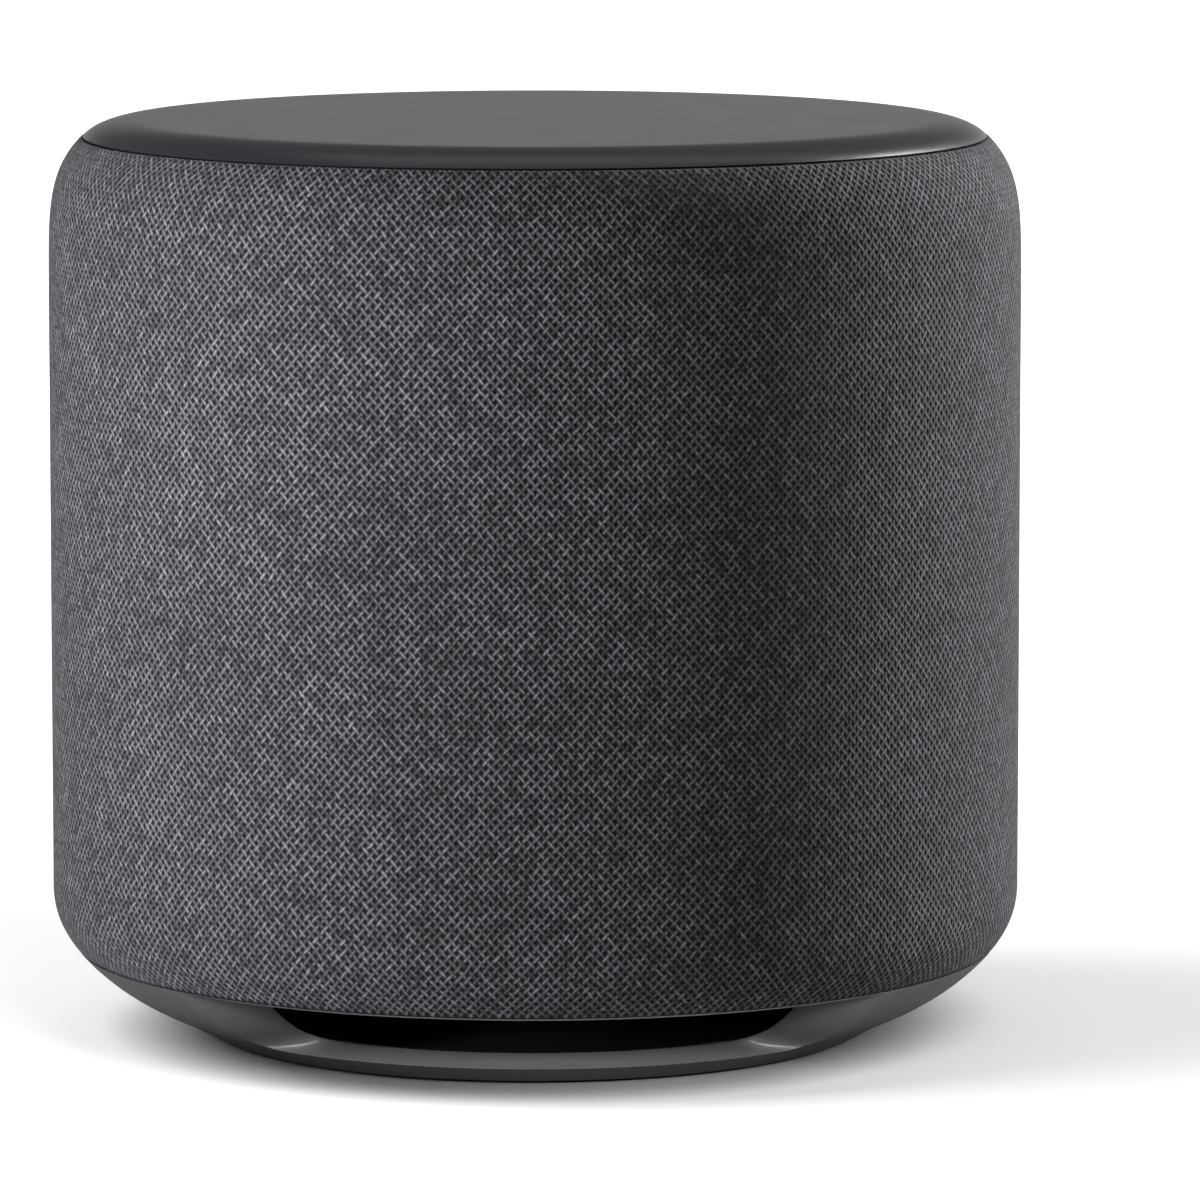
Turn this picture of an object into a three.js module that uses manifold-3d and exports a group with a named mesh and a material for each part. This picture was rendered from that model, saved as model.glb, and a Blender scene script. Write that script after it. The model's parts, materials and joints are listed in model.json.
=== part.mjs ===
// A cloth-covered drum subwoofer with a down-firing woofer and a sound window at the front of its base.
// Millimetres, +Z up. The origin is the centre of the underside, the sound window faces -Y and the
// mains inlet faces +Y. Each mesh is one physical piece; pieces that touch keep a gap of about 0.3 mm.
import * as THREE from "three";
import { mergeVertices } from "three/addons/utils/BufferGeometryUtils.js";
import Module from "manifold-3d";

const wasm = await Module();
wasm.setup();

// ---- Driving dimensions ----
const BODY_RADIUS = 105;
const HEIGHT = 198.4;
const CROWN_RADIUS = 85.6; // edge of the lid's flat top
const CROWN_SWEEP = THREE.MathUtils.degToRad(67.5);
const SEAM_RADIUS = 97.4; // where the lid meets the cloth
const SEAM_Z = 194.7;
const TOP_CORNER = { height: 41.9, power: 6 };
const HEM_RADIUS = 100.5; // lower edge of the cloth
const HEM_Z = 18.9;
const HEM_CORNER = { height: 13.6, power: 2.3 };
const CLOTH = 1.2;
const WALL = 3;
const GAP = 0.3;

const SHOULDER = [99.7, 18.5]; // upper outer edge of the base
const BELLY = [79.8, 5.1]; // where the bowl of the base turns into its foot
const BELLY_BULGE = 2.1;
const FOOT = [71.6, 0.6]; // lower outer edge of the base
const WINDOW_OUTER_ANGLE = THREE.MathUtils.degToRad(48);
const WINDOW_INNER_ANGLE = THREE.MathUtils.degToRad(39.5);
const SILL_OUTER = [78.6, 4.25];
const SILL_INNER = [69, 5.7];

const BAFFLE_Z = 27;
const BAFFLE_THICKNESS = 6;
const BULKHEAD_Z = 143;
const BULKHEAD_THICKNESS = 3;
const WOOFER_Z = 22.4; // front face of the woofer's flange
const WOOFER_RADIUS = 82;
const WOOFER_SCREW_CIRCLE = 78;
const WOOFER_SCREWS = 6;
const BASE_SCREW_CIRCLE = 88.3;
const BASE_SCREW_ANGLES = [75, 140, 220, 285].map(THREE.MathUtils.degToRad);

const PANEL = { width: 60, height: 50, corner: 11, z: 60, face: 99.4, thickness: 3.2, rim: 3 };
const INLET_Z = -11; // from the panel's centre
const BUTTON_Z = 8;
const LIGHT_Z = 17;
const BUTTON_TRAVEL = 0.8;

const FINE = 40; // sides of the large round pieces
const MEDIUM = 24;
const COARSE = 16;

// ---- Finishes ----
const finish = (color, roughness, metalness = 0) => {
  return new THREE.MeshStandardMaterial({ color, roughness, metalness });
};
const FINISH = {
  cloth: finish(0x45464a, 0.95),
  lid: finish(0x36383c, 0.35),
  cowl: finish(0x4a4a4b, 0.45),
  housing: finish(0x1d1e20, 0.6),
  rubber: finish(0x101011, 0.9),
  board: finish(0x1f4d33, 0.55),
  steel: finish(0xa9abad, 0.35, 0.9),
  darkSteel: finish(0x2b2c2e, 0.5, 0.7),
  aluminium: finish(0xb9bbbd, 0.4, 0.9),
  copper: finish(0xb06a3a, 0.4, 0.9),
  brass: finish(0xc2a25a, 0.35, 0.9),
  ferrite: finish(0x2a2a2b, 0.8),
  paper: finish(0x26272a, 0.85),
  treatedCloth: finish(0xb38a4a, 0.9),
  kapton: finish(0xa8742c, 0.5),
  lens: finish(0xe9eef0, 0.25),
  ceramic: finish(0xe6e2d6, 0.5),
  can: finish(0x30405c, 0.45),
  foam: finish(0x2f3033, 1),
  cable: finish(0x17181a, 0.6),
};

// ---- Solids ----
// A closed geometry as a manifold-3d solid.
function solidOf(geometry) {
  const bare = new THREE.BufferGeometry().setAttribute("position", geometry.getAttribute("position"));
  bare.setIndex(geometry.index);
  const merged = mergeVertices(bare, 1e-4);
  return new wasm.Manifold(
    new wasm.Mesh({
      numProp: 3,
      vertProperties: merged.attributes.position.array,
      triVerts: new Uint32Array(merged.index.array),
    }),
  );
}

// A manifold-3d solid as a geometry.
function geometryOf(solid) {
  const { vertProperties, triVerts } = solid.getMesh();
  const geometry = new THREE.BufferGeometry();
  geometry.setAttribute("position", new THREE.BufferAttribute(vertProperties, 3));
  geometry.setIndex(new THREE.BufferAttribute(triVerts, 1));
  geometry.computeVertexNormals();
  return geometry;
}

const joined = (...geometries) => geometries.map(solidOf).reduce((a, b) => a.add(b));
const cut = (solid, ...geometries) => geometries.reduce((a, g) => a.subtract(solidOf(g)), solid);

// One named piece from a geometry or a solid.
function piece(name, shape, material) {
  const geometry = shape.isBufferGeometry ? shape : geometryOf(shape);
  const mesh = new THREE.Mesh(geometry, material.clone());
  mesh.name = name;
  return mesh;
}

// A solid of revolution about Z from [radius, height] pairs, closed on the axis or on itself.
function turned(profile, sides = MEDIUM) {
  const points = profile.map(([r, z]) => new THREE.Vector2(r, z));
  const meetsAxis = points[0].x === 0 && points.at(-1).x === 0;
  if (!meetsAxis) points.push(points[0].clone());
  if (THREE.ShapeUtils.area(points) < 0) points.reverse();
  return new THREE.LatheGeometry(points, sides).rotateX(Math.PI / 2);
}

// A flat washer from one height to another.
function ring(inner, outer, low, high, sides = MEDIUM) {
  return turned([[inner, low], [outer, low], [outer, high], [inner, high]], sides);
}

// An upright cylinder standing on height low.
function post(radius, low, high, x = 0, y = 0, sides = 16) {
  const height = high - low;
  return new THREE.CylinderGeometry(radius, radius, height, sides)
    .rotateX(Math.PI / 2)
    .translate(x, y, low + height / 2);
}

// A cylinder along Y from y = near to y = far.
function pin(radius, near, far, x, z, sides = 16) {
  return new THREE.CylinderGeometry(radius, radius, far - near, sides).translate(x, (near + far) / 2, z);
}

// A box centred on x and y that stands on height low.
function block(width, depth, height, x, y, low) {
  return new THREE.BoxGeometry(width, depth, height).translate(x, y, low + height / 2);
}

// A rounded rectangle centred on the origin.
function roundedRectangle(width, height, radius) {
  const shape = new THREE.Shape();
  const [x, y] = [width / 2 - radius, height / 2 - radius];
  shape.absarc(x, y, radius, 0, Math.PI / 2);
  shape.absarc(-x, y, radius, Math.PI / 2, Math.PI);
  shape.absarc(-x, -y, radius, Math.PI, 1.5 * Math.PI);
  shape.absarc(x, -y, radius, 1.5 * Math.PI, 2 * Math.PI);
  shape.closePath();
  return shape;
}

// A shape drawn in X and Z, extruded along Y from y = near to y = far.
function through(shape, near, far, curveSegments = 4) {
  return new THREE.ExtrudeGeometry(shape, { depth: far - near, bevelEnabled: false, curveSegments })
    .rotateX(Math.PI / 2)
    .translate(0, far, 0);
}

// Where something at an angle from the front (-Y) stands, seen from above.
const around = (radius, angle) => [radius * Math.sin(angle), -radius * Math.cos(angle)];

// A wire of round section along a smooth route.
function wire(route, radius, steps) {
  const section = new THREE.Shape().absarc(0, 0, radius, 0, 2 * Math.PI);
  const path = new THREE.CatmullRomCurve3(route.map((p) => new THREE.Vector3(...p)));
  return new THREE.ExtrudeGeometry(section, {
    steps,
    extrudePath: path,
    bevelEnabled: false,
    curveSegments: 3,
  });
}

// ---- The drum's outline ----
// The cloth's outer outline from its hem to the seam under the lid, as [radius, height] pairs.
function drumOutline() {
  const steps = 12;
  const outline = [];
  for (let i = 0; i <= steps; i++) {
    const u = 1 - i / steps;
    const inset = (BODY_RADIUS - HEM_RADIUS) * u ** HEM_CORNER.power;
    outline.push([BODY_RADIUS - inset, HEM_Z + HEM_CORNER.height * (1 - u)]);
  }
  for (let i = 0; i <= steps; i++) {
    const u = Math.sqrt(i / steps);
    const inset = (BODY_RADIUS - SEAM_RADIUS - 0.6) * u ** TOP_CORNER.power;
    outline.push([BODY_RADIUS - inset, SEAM_Z - 0.4 - TOP_CORNER.height * (1 - u)]);
  }
  return outline;
}

// The same outline moved inwards along its normals.
function movedIn(outline, distance) {
  return outline.map((point, i) => {
    const before = outline[Math.max(i - 1, 0)];
    const after = outline[Math.min(i + 1, outline.length - 1)];
    const [dr, dz] = [after[0] - before[0], after[1] - before[1]];
    const length = Math.hypot(dr, dz);
    return [point[0] - (distance * dz) / length, point[1] + (distance * dr) / length];
  });
}

// Every so many points of an outline made of two equal runs, each run keeping both of its ends.
function thinned(outline, keepEvery) {
  const half = outline.length / 2;
  return outline.filter((_, i) => (i % half) % keepEvery === 0);
}

// ---- Body ----
function topCover() {
  const steps = 5;
  const profile = [[0, HEIGHT]];
  for (let i = 0; i <= steps; i++) {
    const a = (CROWN_SWEEP * i) / steps;
    const out = Math.sin(a) / Math.sin(CROWN_SWEEP);
    const down = (1 - Math.cos(a)) / (1 - Math.cos(CROWN_SWEEP));
    profile.push([
      CROWN_RADIUS + (SEAM_RADIUS - CROWN_RADIUS) * out,
      HEIGHT - (HEIGHT - SEAM_Z) * down,
    ]);
  }
  profile.push([97.2, 194.55], [92, 193.6], [92, 185.5], [89.6, 185.5], [89.6, 195.6], [0, 195.6]);
  return piece("top_cover", turned(profile, FINE), FINISH.lid);
}

// The opening in the drum wall for the rear panel.
function rearOpening() {
  const { width, height, corner, z } = PANEL;
  return through(roundedRectangle(width + 0.8, height + 0.8, corner + 0.4), 80, 120).translate(0, 0, z);
}

function fabricSleeve() {
  const outline = drumOutline();
  const outer = thinned(outline, 3);
  const inner = thinned(movedIn(outline, CLOTH), 3).reverse();
  inner[inner.length - 1] = [96.9, HEM_Z + CLOTH];
  const profile = [[96.9, HEM_Z], ...outer, [94.4, 193.1], [94.2, 192.1], ...inner];
  return piece("fabric_sleeve", cut(solidOf(turned(profile, FINE)), rearOpening()), FINISH.cloth);
}

function mainHousing() {
  const clear = CLOTH + 2 * GAP;
  const outer = thinned(movedIn(drumOutline(), clear), 4).slice(1);
  const inner = thinned(movedIn(drumOutline(), clear + WALL), 4).slice(1).reverse();
  const profile = [
    [97.4, outer[0][1]],
    ...outer.slice(0, -1),
    [95.4, 191.9],
    [93.2, 190.6],
    [93.2, 189.4],
    ...inner.slice(1, -1),
    [99.4, 26.7],
    [97.4, 24.6],
  ];
  const ledges = [
    ring(92.5, 101.8, BULKHEAD_Z - 3.3, BULKHEAD_Z - 0.3),
    ring(93.5, 101.8, BAFFLE_Z + BAFFLE_THICKNESS + 0.3, BAFFLE_Z + BAFFLE_THICKNESS + 3.3),
  ];
  const shell = joined(turned(profile), ...ledges);
  return piece("main_housing", cut(shell, rearOpening()), FINISH.housing);
}

// ---- Base ----
// The bowl's outer outline from its shoulder down to its foot.
function bowlOutline(steps = 4) {
  const outline = [];
  for (let i = 0; i <= steps; i++) {
    const u = i / steps;
    const bulge = BELLY_BULGE * 2 * u * (1 - u);
    const r = THREE.MathUtils.lerp(SHOULDER[0], BELLY[0], u) + bulge;
    const z = THREE.MathUtils.lerp(SHOULDER[1], BELLY[1], u) - bulge;
    outline.push([r, z]);
  }
  outline.push(FOOT);
  return outline;
}

// The cutter of the sound window: a box bent round the wall, its width an angle, its height a place along
// the wall and its depth a way out through the wall. It flares outwards, and its lower face is the sill.
function windowCutter() {
  const corner = 0.3; // share of the height over which the lower corners are round
  const pinch = 0.14; // share of the width that the round corners take from the sill
  const geometry = new THREE.BoxGeometry(2, 1, 1, 10, 7, 5);
  const position = geometry.getAttribute("position");
  const spline = (...points) => new THREE.SplineCurve(points.map((p) => new THREE.Vector2(...p)));
  const inside = spline(SILL_INNER, [79, 10], [86.4, 15.6], [87.6, 18.6]);
  const outside = spline(SILL_OUTER, [89.5, 9.4], [95.8, 14], [100.6, 18.6]);
  for (let i = 0; i < position.count; i++) {
    const along = (position.getY(i) + 0.5) ** 1.3;
    const depth = THREE.MathUtils.lerp(-0.35, 1.5, position.getZ(i) + 0.5);
    const flare = Math.max(depth, 0) ** 1.6;
    const below = Math.max(1 - along / corner, 0);
    const narrowing = 1 - pinch * (1 - Math.sqrt(1 - below ** 2));
    const halfAngle = THREE.MathUtils.lerp(WINDOW_INNER_ANGLE, WINDOW_OUTER_ANGLE, flare) * narrowing;
    const from = inside.getPoint(along);
    const to = outside.getPoint(along);
    const [r, z] = [from.x + (to.x - from.x) * depth, from.y + (to.y - from.y) * depth];
    const [x, y] = around(r, position.getX(i) * halfAngle);
    position.setXYZ(i, x, y, z);
  }
  return geometry;
}

// A thin bowl with a spigot that enters the drum, and a thick lip where the window cuts through it.
function baseCowl() {
  const bowl = bowlOutline();
  const footing = [[70.9, 0.6], [70.9, 2.1], [64.3, 2.1], [64.3, 3.3], [60, 3.3], [60, 4.6]];
  const spigot = [[93.6, 26.6], [96.4, 26.6], [96.4, SHOULDER[1]]];
  const thin = [...spigot, ...bowl, ...footing, [72, 4.6], [78, 7.2], [88, 12], [93.6, 18]];
  const buried = [[94.6, 17.4], [90, 11.6], [80, 6.6], [73, 3.6], [66.4, 3.9]];
  const lip = [SILL_INNER, [79, 10], [86.4, 15.6], [87.6, 18.6], [94.4, 18.8], ...buried];
  const reach = 0.9;
  const wedge = new THREE.Shape();
  wedge.moveTo(0, 0);
  wedge.lineTo(...around(170, -reach));
  wedge.lineTo(...around(170, 0));
  wedge.lineTo(...around(170, reach));
  wedge.closePath();
  const sector = new THREE.ExtrudeGeometry(wedge, { depth: 40, bevelEnabled: false });
  const front = solidOf(turned(lip, FINE)).intersect(solidOf(sector));
  const lugs = BASE_SCREW_ANGLES.map((angle) => post(5.8, 19.5, 26.6, ...around(BASE_SCREW_CIRCLE, angle)));
  const holes = BASE_SCREW_ANGLES.map((angle) => post(2.1, 15, 30, ...around(BASE_SCREW_CIRCLE, angle), 12));
  const bowlSolid = lugs.reduce((all, lug) => all.add(solidOf(lug)), solidOf(turned(thin, FINE)).add(front));
  return piece("base_cowl", cut(bowlSolid, windowCutter(), ...holes), FINISH.cowl);
}

// The plate that closes the base from below, with a low cone that turns the sound outwards.
function bottomPlate() {
  const profile = [[0, 1], [56.4, 1], [56.4, 2.3], [63.9, 2.3], [63.9, 3], [44, 3], [26, 5.4], [12, 9.4],
    [5, 10.7], [0, 11]];
  return piece("bottom_plate", turned(profile, FINE), FINISH.cowl);
}

function footRing() {
  return piece("foot_ring", ring(56.9, 70.5, 0, 1.8, FINE), FINISH.rubber);
}

// ---- Screws ----
// A pan-head screw that points up, its head at the bottom.
function screw(name, headRadius, headHeight, shankRadius, length) {
  const profile = [
    [0, 0],
    [headRadius * 0.7, 0],
    [headRadius, headHeight],
    [shankRadius, headHeight],
    [shankRadius, headHeight + length],
    [0, headHeight + length + shankRadius],
  ];
  return piece(name, turned(profile, 8), FINISH.darkSteel);
}

function baseScrews() {
  return BASE_SCREW_ANGLES.map((angle, i) => {
    const made = screw(`base_screw_${i + 1}`, 3.6, 2.4, 1.8, 11.5);
    made.position.set(...around(BASE_SCREW_CIRCLE, angle), 16.8);
    return made;
  });
}

// ---- Baffle and bulkhead ----
function bafflePlate() {
  const low = BAFFLE_Z;
  const high = BAFFLE_Z + BAFFLE_THICKNESS;
  const plate = solidOf(ring(74.2, 98.6, low, high));
  const wooferHoles = wooferScrewPlaces().map(([x, y]) => post(2.1, low - 1, high + 1, x, y, 10));
  const baseHoles = BASE_SCREW_ANGLES.map((angle) => {
    return post(2.1, low - 1, high + 1, ...around(BASE_SCREW_CIRCLE, angle), 10);
  });
  return piece("baffle_plate", cut(plate, ...wooferHoles, ...baseHoles), FINISH.housing);
}

const WIRE_HOLES = [[14, 74], [-34, 70], [66, 22]];

// The plate between the woofer's air and the electronics, with the pillars that carry the boards.
function bulkhead() {
  const low = BULKHEAD_Z;
  const high = BULKHEAD_Z + BULKHEAD_THICKNESS;
  const plate = post(99.2, low, high, 0, 0, MEDIUM);
  const pillars = [];
  for (const side of [-1, 1]) {
    for (const x of [-48, 48]) {
      for (const y of [14, 60]) pillars.push(post(3.2, high - 1, high + 5, x, side * y, 10));
    }
    pillars.push(block(5, 44, 6, side * 88, 0, high - 1));
  }
  const holes = WIRE_HOLES.map(([x, y]) => post(4.2, low - 1, high + 1, x, y, 12));
  return piece("bulkhead", cut(joined(plate, ...pillars), ...holes), FINISH.housing);
}

// ---- Woofer, in a frame whose zero height is the front face of its flange ----
function wooferScrewPlaces() {
  return Array.from({ length: WOOFER_SCREWS }, (_, i) => {
    return around(WOOFER_SCREW_CIRCLE, ((i + 0.5) * 2 * Math.PI) / WOOFER_SCREWS);
  });
}

function wooferBasket() {
  const flange = ring(67.5, WOOFER_RADIUS, 0, 3);
  const landing = ring(44.5, 50, 27.9, 29.9);
  const seat = ring(34, 54, 37.6, 40.3);
  const arm = new THREE.Shape(
    [[68, 1.5], [73.2, 1.5], [73.2, 5.6], [53.8, 40], [45.5, 40], [45.5, 28.6], [49.5, 28.2]].map(
      (p) => new THREE.Vector2(...p),
    ),
  );
  const arms = Array.from({ length: WOOFER_SCREWS }, (_, i) => {
    return new THREE.ExtrudeGeometry(arm, { depth: 8, bevelEnabled: false })
      .translate(0, 0, -4)
      .rotateX(Math.PI / 2)
      .rotateZ((i * 2 * Math.PI) / WOOFER_SCREWS - Math.PI / 2);
  });
  const holes = wooferScrewPlaces().map(([x, y]) => post(2.1, -1, 4, x, y, 10));
  return piece("woofer_basket", cut(joined(flange, landing, seat, ...arms), ...holes), FINISH.darkSteel);
}

function wooferGasket() {
  const holes = wooferScrewPlaces().map(([x, y]) => post(2.1, 2, 6, x, y, 10));
  return piece("woofer_gasket", cut(solidOf(ring(74.4, 81.5, 3.3, 4.3)), ...holes), FINISH.rubber);
}

function wooferSurround() {
  const [middle, roll, level, thickness] = [61.5, 6, -0.3, 1.1];
  const bow = (radius) => {
    return Array.from({ length: 6 }, (_, i) => {
      const a = Math.PI + (Math.PI * i) / 5;
      return [middle - radius * Math.cos(a + Math.PI), level - thickness + radius * Math.sin(a)];
    });
  };
  const outerBow = bow(roll);
  const innerBow = bow(roll - thickness).reverse();
  const profile = [
    [51.8, level],
    [51.8, level - thickness],
    ...outerBow,
    [72.4, level - thickness],
    [72.4, level],
    ...innerBow.map(([r, z]) => [r, Math.min(z + 0.001, level)]),
  ];
  return piece("woofer_surround", turned(profile, MEDIUM), FINISH.rubber);
}

function wooferCone() {
  const profile = [
    [55.2, 0],
    [51.5, 0],
    [36, 8],
    [21, 17.6],
    [19.9, 17.6],
    [19.9, 21.6],
    [20.9, 21.6],
    [20.9, 19.3],
    [36.6, 9.2],
    [52, 1.2],
    [55.2, 1.2],
  ];
  return piece("woofer_cone", turned(profile, MEDIUM), FINISH.paper);
}

function dustCap() {
  const dome = (rim, crest) => {
    return Array.from({ length: 5 }, (_, i) => {
      const t = i / 4;
      return [24.3 * t, crest + (rim - crest) * t * t];
    });
  };
  const profile = [...dome(14.5, 8.6), ...dome(15.2, 9.4).reverse()];
  return piece("dust_cap", turned(profile, COARSE), FINISH.paper);
}

function spider() {
  const steps = 6;
  const wave = Array.from({ length: steps + 1 }, (_, i) => {
    return [THREE.MathUtils.lerp(23, 43.5, i / steps), 25.8 + (i % 2 ? 1.2 : -1.2)];
  });
  const under = [[20.9, 25.4], ...wave, [47.4, 26.8]];
  const over = under.map(([r, z]) => [r, z + 0.7]).reverse();
  return piece("spider", turned([...under, ...over], COARSE), FINISH.treatedCloth);
}

function motor() {
  const pole = [
    [6, 41],
    [18.3, 41],
    [18.3, 63.2],
    [46, 63.2],
    [46, 67.2],
    [44, 69.2],
    [6, 69.2],
  ];
  return [
    piece("voice_coil_former", ring(18.9, 19.4, 18.2, 53.6, COARSE), FINISH.kapton),
    piece("voice_coil", ring(19.6, 20.4, 34.6, 52.6, COARSE), FINISH.copper),
    piece("front_pole_plate", ring(21.3, 46, 40.6, 46.6), FINISH.steel),
    piece("magnet", ring(27, 50, 46.9, 62.9), FINISH.ferrite),
    piece("back_pole_plate", turned(pole), FINISH.steel),
  ];
}

// The strip on one arm of the basket that the speaker lead is soldered to.
function terminalStrip() {
  const strip = joined(block(9, 5, 10, 0, 0, 0), block(2.4, 3, 6, -2.6, 3.4, 2), block(2.4, 3, 6, 2.6, 3.4, 2));
  const made = piece("terminal_strip", strip, FINISH.brass);
  const arm = Math.PI / 6;
  const holder = new THREE.Group();
  holder.rotation.z = arm;
  made.position.set(60.5, 6.8, 17);
  holder.add(made);
  return holder;
}

function woofer() {
  const group = new THREE.Group();
  group.position.z = WOOFER_Z;
  const screws = wooferScrewPlaces().map(([x, y], i) => {
    const made = screw(`woofer_screw_${i + 1}`, 3.5, 2.2, 1.8, 9.2);
    made.position.set(x, y, -2.5);
    return made;
  });
  group.add(
    wooferBasket(),
    wooferGasket(),
    wooferSurround(),
    wooferCone(),
    dustCap(),
    spider(),
    ...motor(),
    terminalStrip(),
    ...screws,
  );
  return group;
}

// ---- Rear panel, in a frame centred on the panel, Y measured from the drum's axis ----
function rearPanel() {
  const { width, height, corner, face, thickness, rim, z } = PANEL;
  const blank = solidOf(through(roundedRectangle(width, height, corner), face - thickness, 112));
  const drum = solidOf(post(BODY_RADIUS, -height, height, 0, 0, FINE * 2));
  const pocket = through(roundedRectangle(width - 2 * rim, height - 2 * rim, corner - rim), face, 120);
  const openings = [
    through(roundedRectangle(19.4, 12.4, 3.2), 80, 110).translate(0, 0, INLET_Z),
    pin(4.9, 80, 110, 0, BUTTON_Z, 24),
    pin(1.6, 80, 110, 0, LIGHT_Z, 12),
    ...[-1, 1].map((side) => pin(1.9, 80, 110, side * 20, INLET_Z, 10)),
  ];
  const bosses = [-1, 1].map((side) => pin(2.6, 88.2, face - 1, side * 11, (BUTTON_Z + LIGHT_Z) / 2, 10));
  const shell = bosses.reduce((all, boss) => all.add(solidOf(boss)), cut(blank.intersect(drum), pocket));
  const made = piece("rear_panel", cut(shell, ...openings), FINISH.housing);
  made.position.z = z;
  return made;
}

// A figure-of-eight outline, two circles joined by a waist.
function figureOfEight(radius, spacing) {
  const shape = new THREE.Shape();
  const waist = 0.8; // angle at which the circles open into each other
  shape.absarc(spacing / 2, 0, radius, -Math.PI + waist, Math.PI - waist);
  shape.absarc(-spacing / 2, 0, radius, waist, 2 * Math.PI - waist);
  shape.closePath();
  return shape;
}

function inlet() {
  const body = solidOf(through(roundedRectangle(18.8, 11.8, 2.9), 83, 100.4));
  const flange = solidOf(through(roundedRectangle(23.6, 16.6, 4), 93.4, 95.9));
  const socket = through(figureOfEight(4.3, 8.6), 86.4, 104, 6);
  const pinHoles = [-1, 1].map((side) => pin(1.6, 80, 90, side * 4.3, 0, 10));
  const group = new THREE.Group();
  group.position.set(0, 0, INLET_Z);
  group.add(piece("inlet_housing", cut(body.add(flange), socket, ...pinHoles), FINISH.rubber));
  for (const [side, name] of [[-1, "left"], [1, "right"]]) {
    group.add(piece(`inlet_pin_${name}`, pin(1.2, 79.4, 98, side * 4.3, 0, 12), FINISH.brass));
  }
  return group;
}

function rearConnections() {
  const { face } = PANEL;
  const cap = joined(pin(4.5, face - 2.6, face + 0.9, 0, 0, 24), pin(2.2, 91.6, face - 2, 0, 0, 12),
    pin(5.6, face - 6.4, face - 4.6, 0, 0, 24), pin(3.4, face - 5, face - 2.2, 0, 0, 12));
  const button = piece("action_button", cap, FINISH.housing);
  const plungerEnd = 89.2;
  const plunger = piece("switch_plunger", pin(1.7, plungerEnd, 91.3, 0, 0, 12), FINISH.ceramic);
  const bore = pin(2, plungerEnd - BUTTON_TRAVEL - 0.4, 92, 0, 0, 12);
  button.position.z = BUTTON_Z;
  plunger.position.z = BUTTON_Z;
  const tact = piece("tact_switch", cut(solidOf(block(6.2, 3.4, 6.2, 0, 87.9, -3.1)), bore), FINISH.darkSteel);
  tact.position.z = BUTTON_Z;
  const board = piece("io_board", block(30, 1.6, 22, 0, 85.1, 1.5), FINISH.board);
  const led = piece("status_led", block(2, 1, 1.6, 0, 86.7, LIGHT_Z - 0.8), FINISH.lens);
  const pipe = joined(pin(1.3, 87.6, face + 0.2, 0, 0, 12), pin(2.4, face - 5.6, face - 3.5, 0, 0, 12));
  const lightPipe = piece("light_pipe", pipe, FINISH.lens);
  lightPipe.position.z = LIGHT_Z;
  const screws = [-1, 1].map((side, i) => {
    const made = screw(`panel_screw_${i + 1}`, 2.9, 1.8, 1.5, 7.5);
    made.rotation.x = Math.PI / 2;
    made.position.set(side * 20, face + 2.1, INLET_Z);
    return made;
  });
  const group = new THREE.Group();
  group.position.z = PANEL.z;
  group.add(inlet(), button, plunger, tact, board, led, lightPipe, ...screws);
  return group;
}

// ---- Electronics, in a frame whose zero height is the top of the bulkhead ----
// A ring standing on its edge, wound as a choke.
function standingRing(radius, thickness, width) {
  return new THREE.TorusGeometry(radius, thickness, 6, 14).scale(1, 1, width);
}

// A plate with a comb of upright fins.
function finned(width, depth, height, fins, base) {
  const parts = [block(width, depth, base, 0, 0, 0)];
  const pitch = (width - 1.6) / (fins - 1);
  for (let i = 0; i < fins; i++) {
    parts.push(block(1.6, depth, height, -width / 2 + 0.8 + i * pitch, 0, 0));
  }
  return joined(...parts);
}

function at(mesh, x, y, z) {
  mesh.position.set(x, y, z);
  return mesh;
}

const BOARD_LOW = 5.3;
const BOARD_TOP = BOARD_LOW + 1.6;
const ON_BOARD = BOARD_TOP + GAP;

function powerSupply() {
  const group = new THREE.Group();
  group.position.y = 37;
  const core = joined(block(34, 12, 26, 0, 0, 0), block(24, 27, 19, 0, 0, 3.5));
  const capacitor = (name, y) => {
    const can = [[0, 0], [11, 0], [11, 31], [10.4, 32], [9.8, 31], [9.8, 32.6], [0, 32.6]];
    return at(piece(name, turned(can, 14), FINISH.can), -42, y, ON_BOARD);
  };
  const fuse = joined(
    pin(2.5, -10, 10, 0, 5, 12),
    block(6.4, 5.4, 6.4, 0, -8, 0),
    block(6.4, 5.4, 6.4, 0, 8, 0),
  );
  group.add(
    at(piece("psu_board", block(110, 58, 1.6, 0, 0, BOARD_LOW), FINISH.board), 0, 0, 0),
    at(piece("transformer", core, FINISH.kapton), 8, 10, ON_BOARD),
    capacitor("bulk_capacitor_1", -13),
    capacitor("bulk_capacitor_2", 14),
    at(piece("emi_choke", standingRing(8.5, 3.4, 1.5).rotateX(Math.PI / 2), FINISH.copper), 42, 12,
      ON_BOARD + 12),
    at(piece("mains_fuse", fuse, FINISH.ceramic), 47, -14, ON_BOARD),
    at(piece("psu_heatsink", finned(30, 10, 26, 7, 3), FINISH.aluminium), 10, -18, ON_BOARD),
  );
  return group;
}

function amplifier() {
  const group = new THREE.Group();
  group.position.y = -37;
  const coil = (name, x) => {
    const body = joined(post(6.6, 0, 14, 0, 0, 20), block(15, 15, 2, 0, 0, 0), block(15, 15, 2, 0, 0, 12));
    return at(piece(name, body, FINISH.ferrite), x, 18, ON_BOARD);
  };
  group.add(
    at(piece("amp_board", block(110, 58, 1.6, 0, 0, BOARD_LOW), FINISH.board), 0, 0, 0),
    at(piece("amp_heatsink", finned(50, 32, 18, 10, 3), FINISH.aluminium), -6, -8, ON_BOARD),
    coil("output_inductor_1", -42),
    coil("output_inductor_2", -42 + 19),
    at(piece("radio_shield", block(26, 20, 3.4, 0, 0, 0), FINISH.steel), 37, 6, ON_BOARD),
  );
  return group;
}

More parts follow.
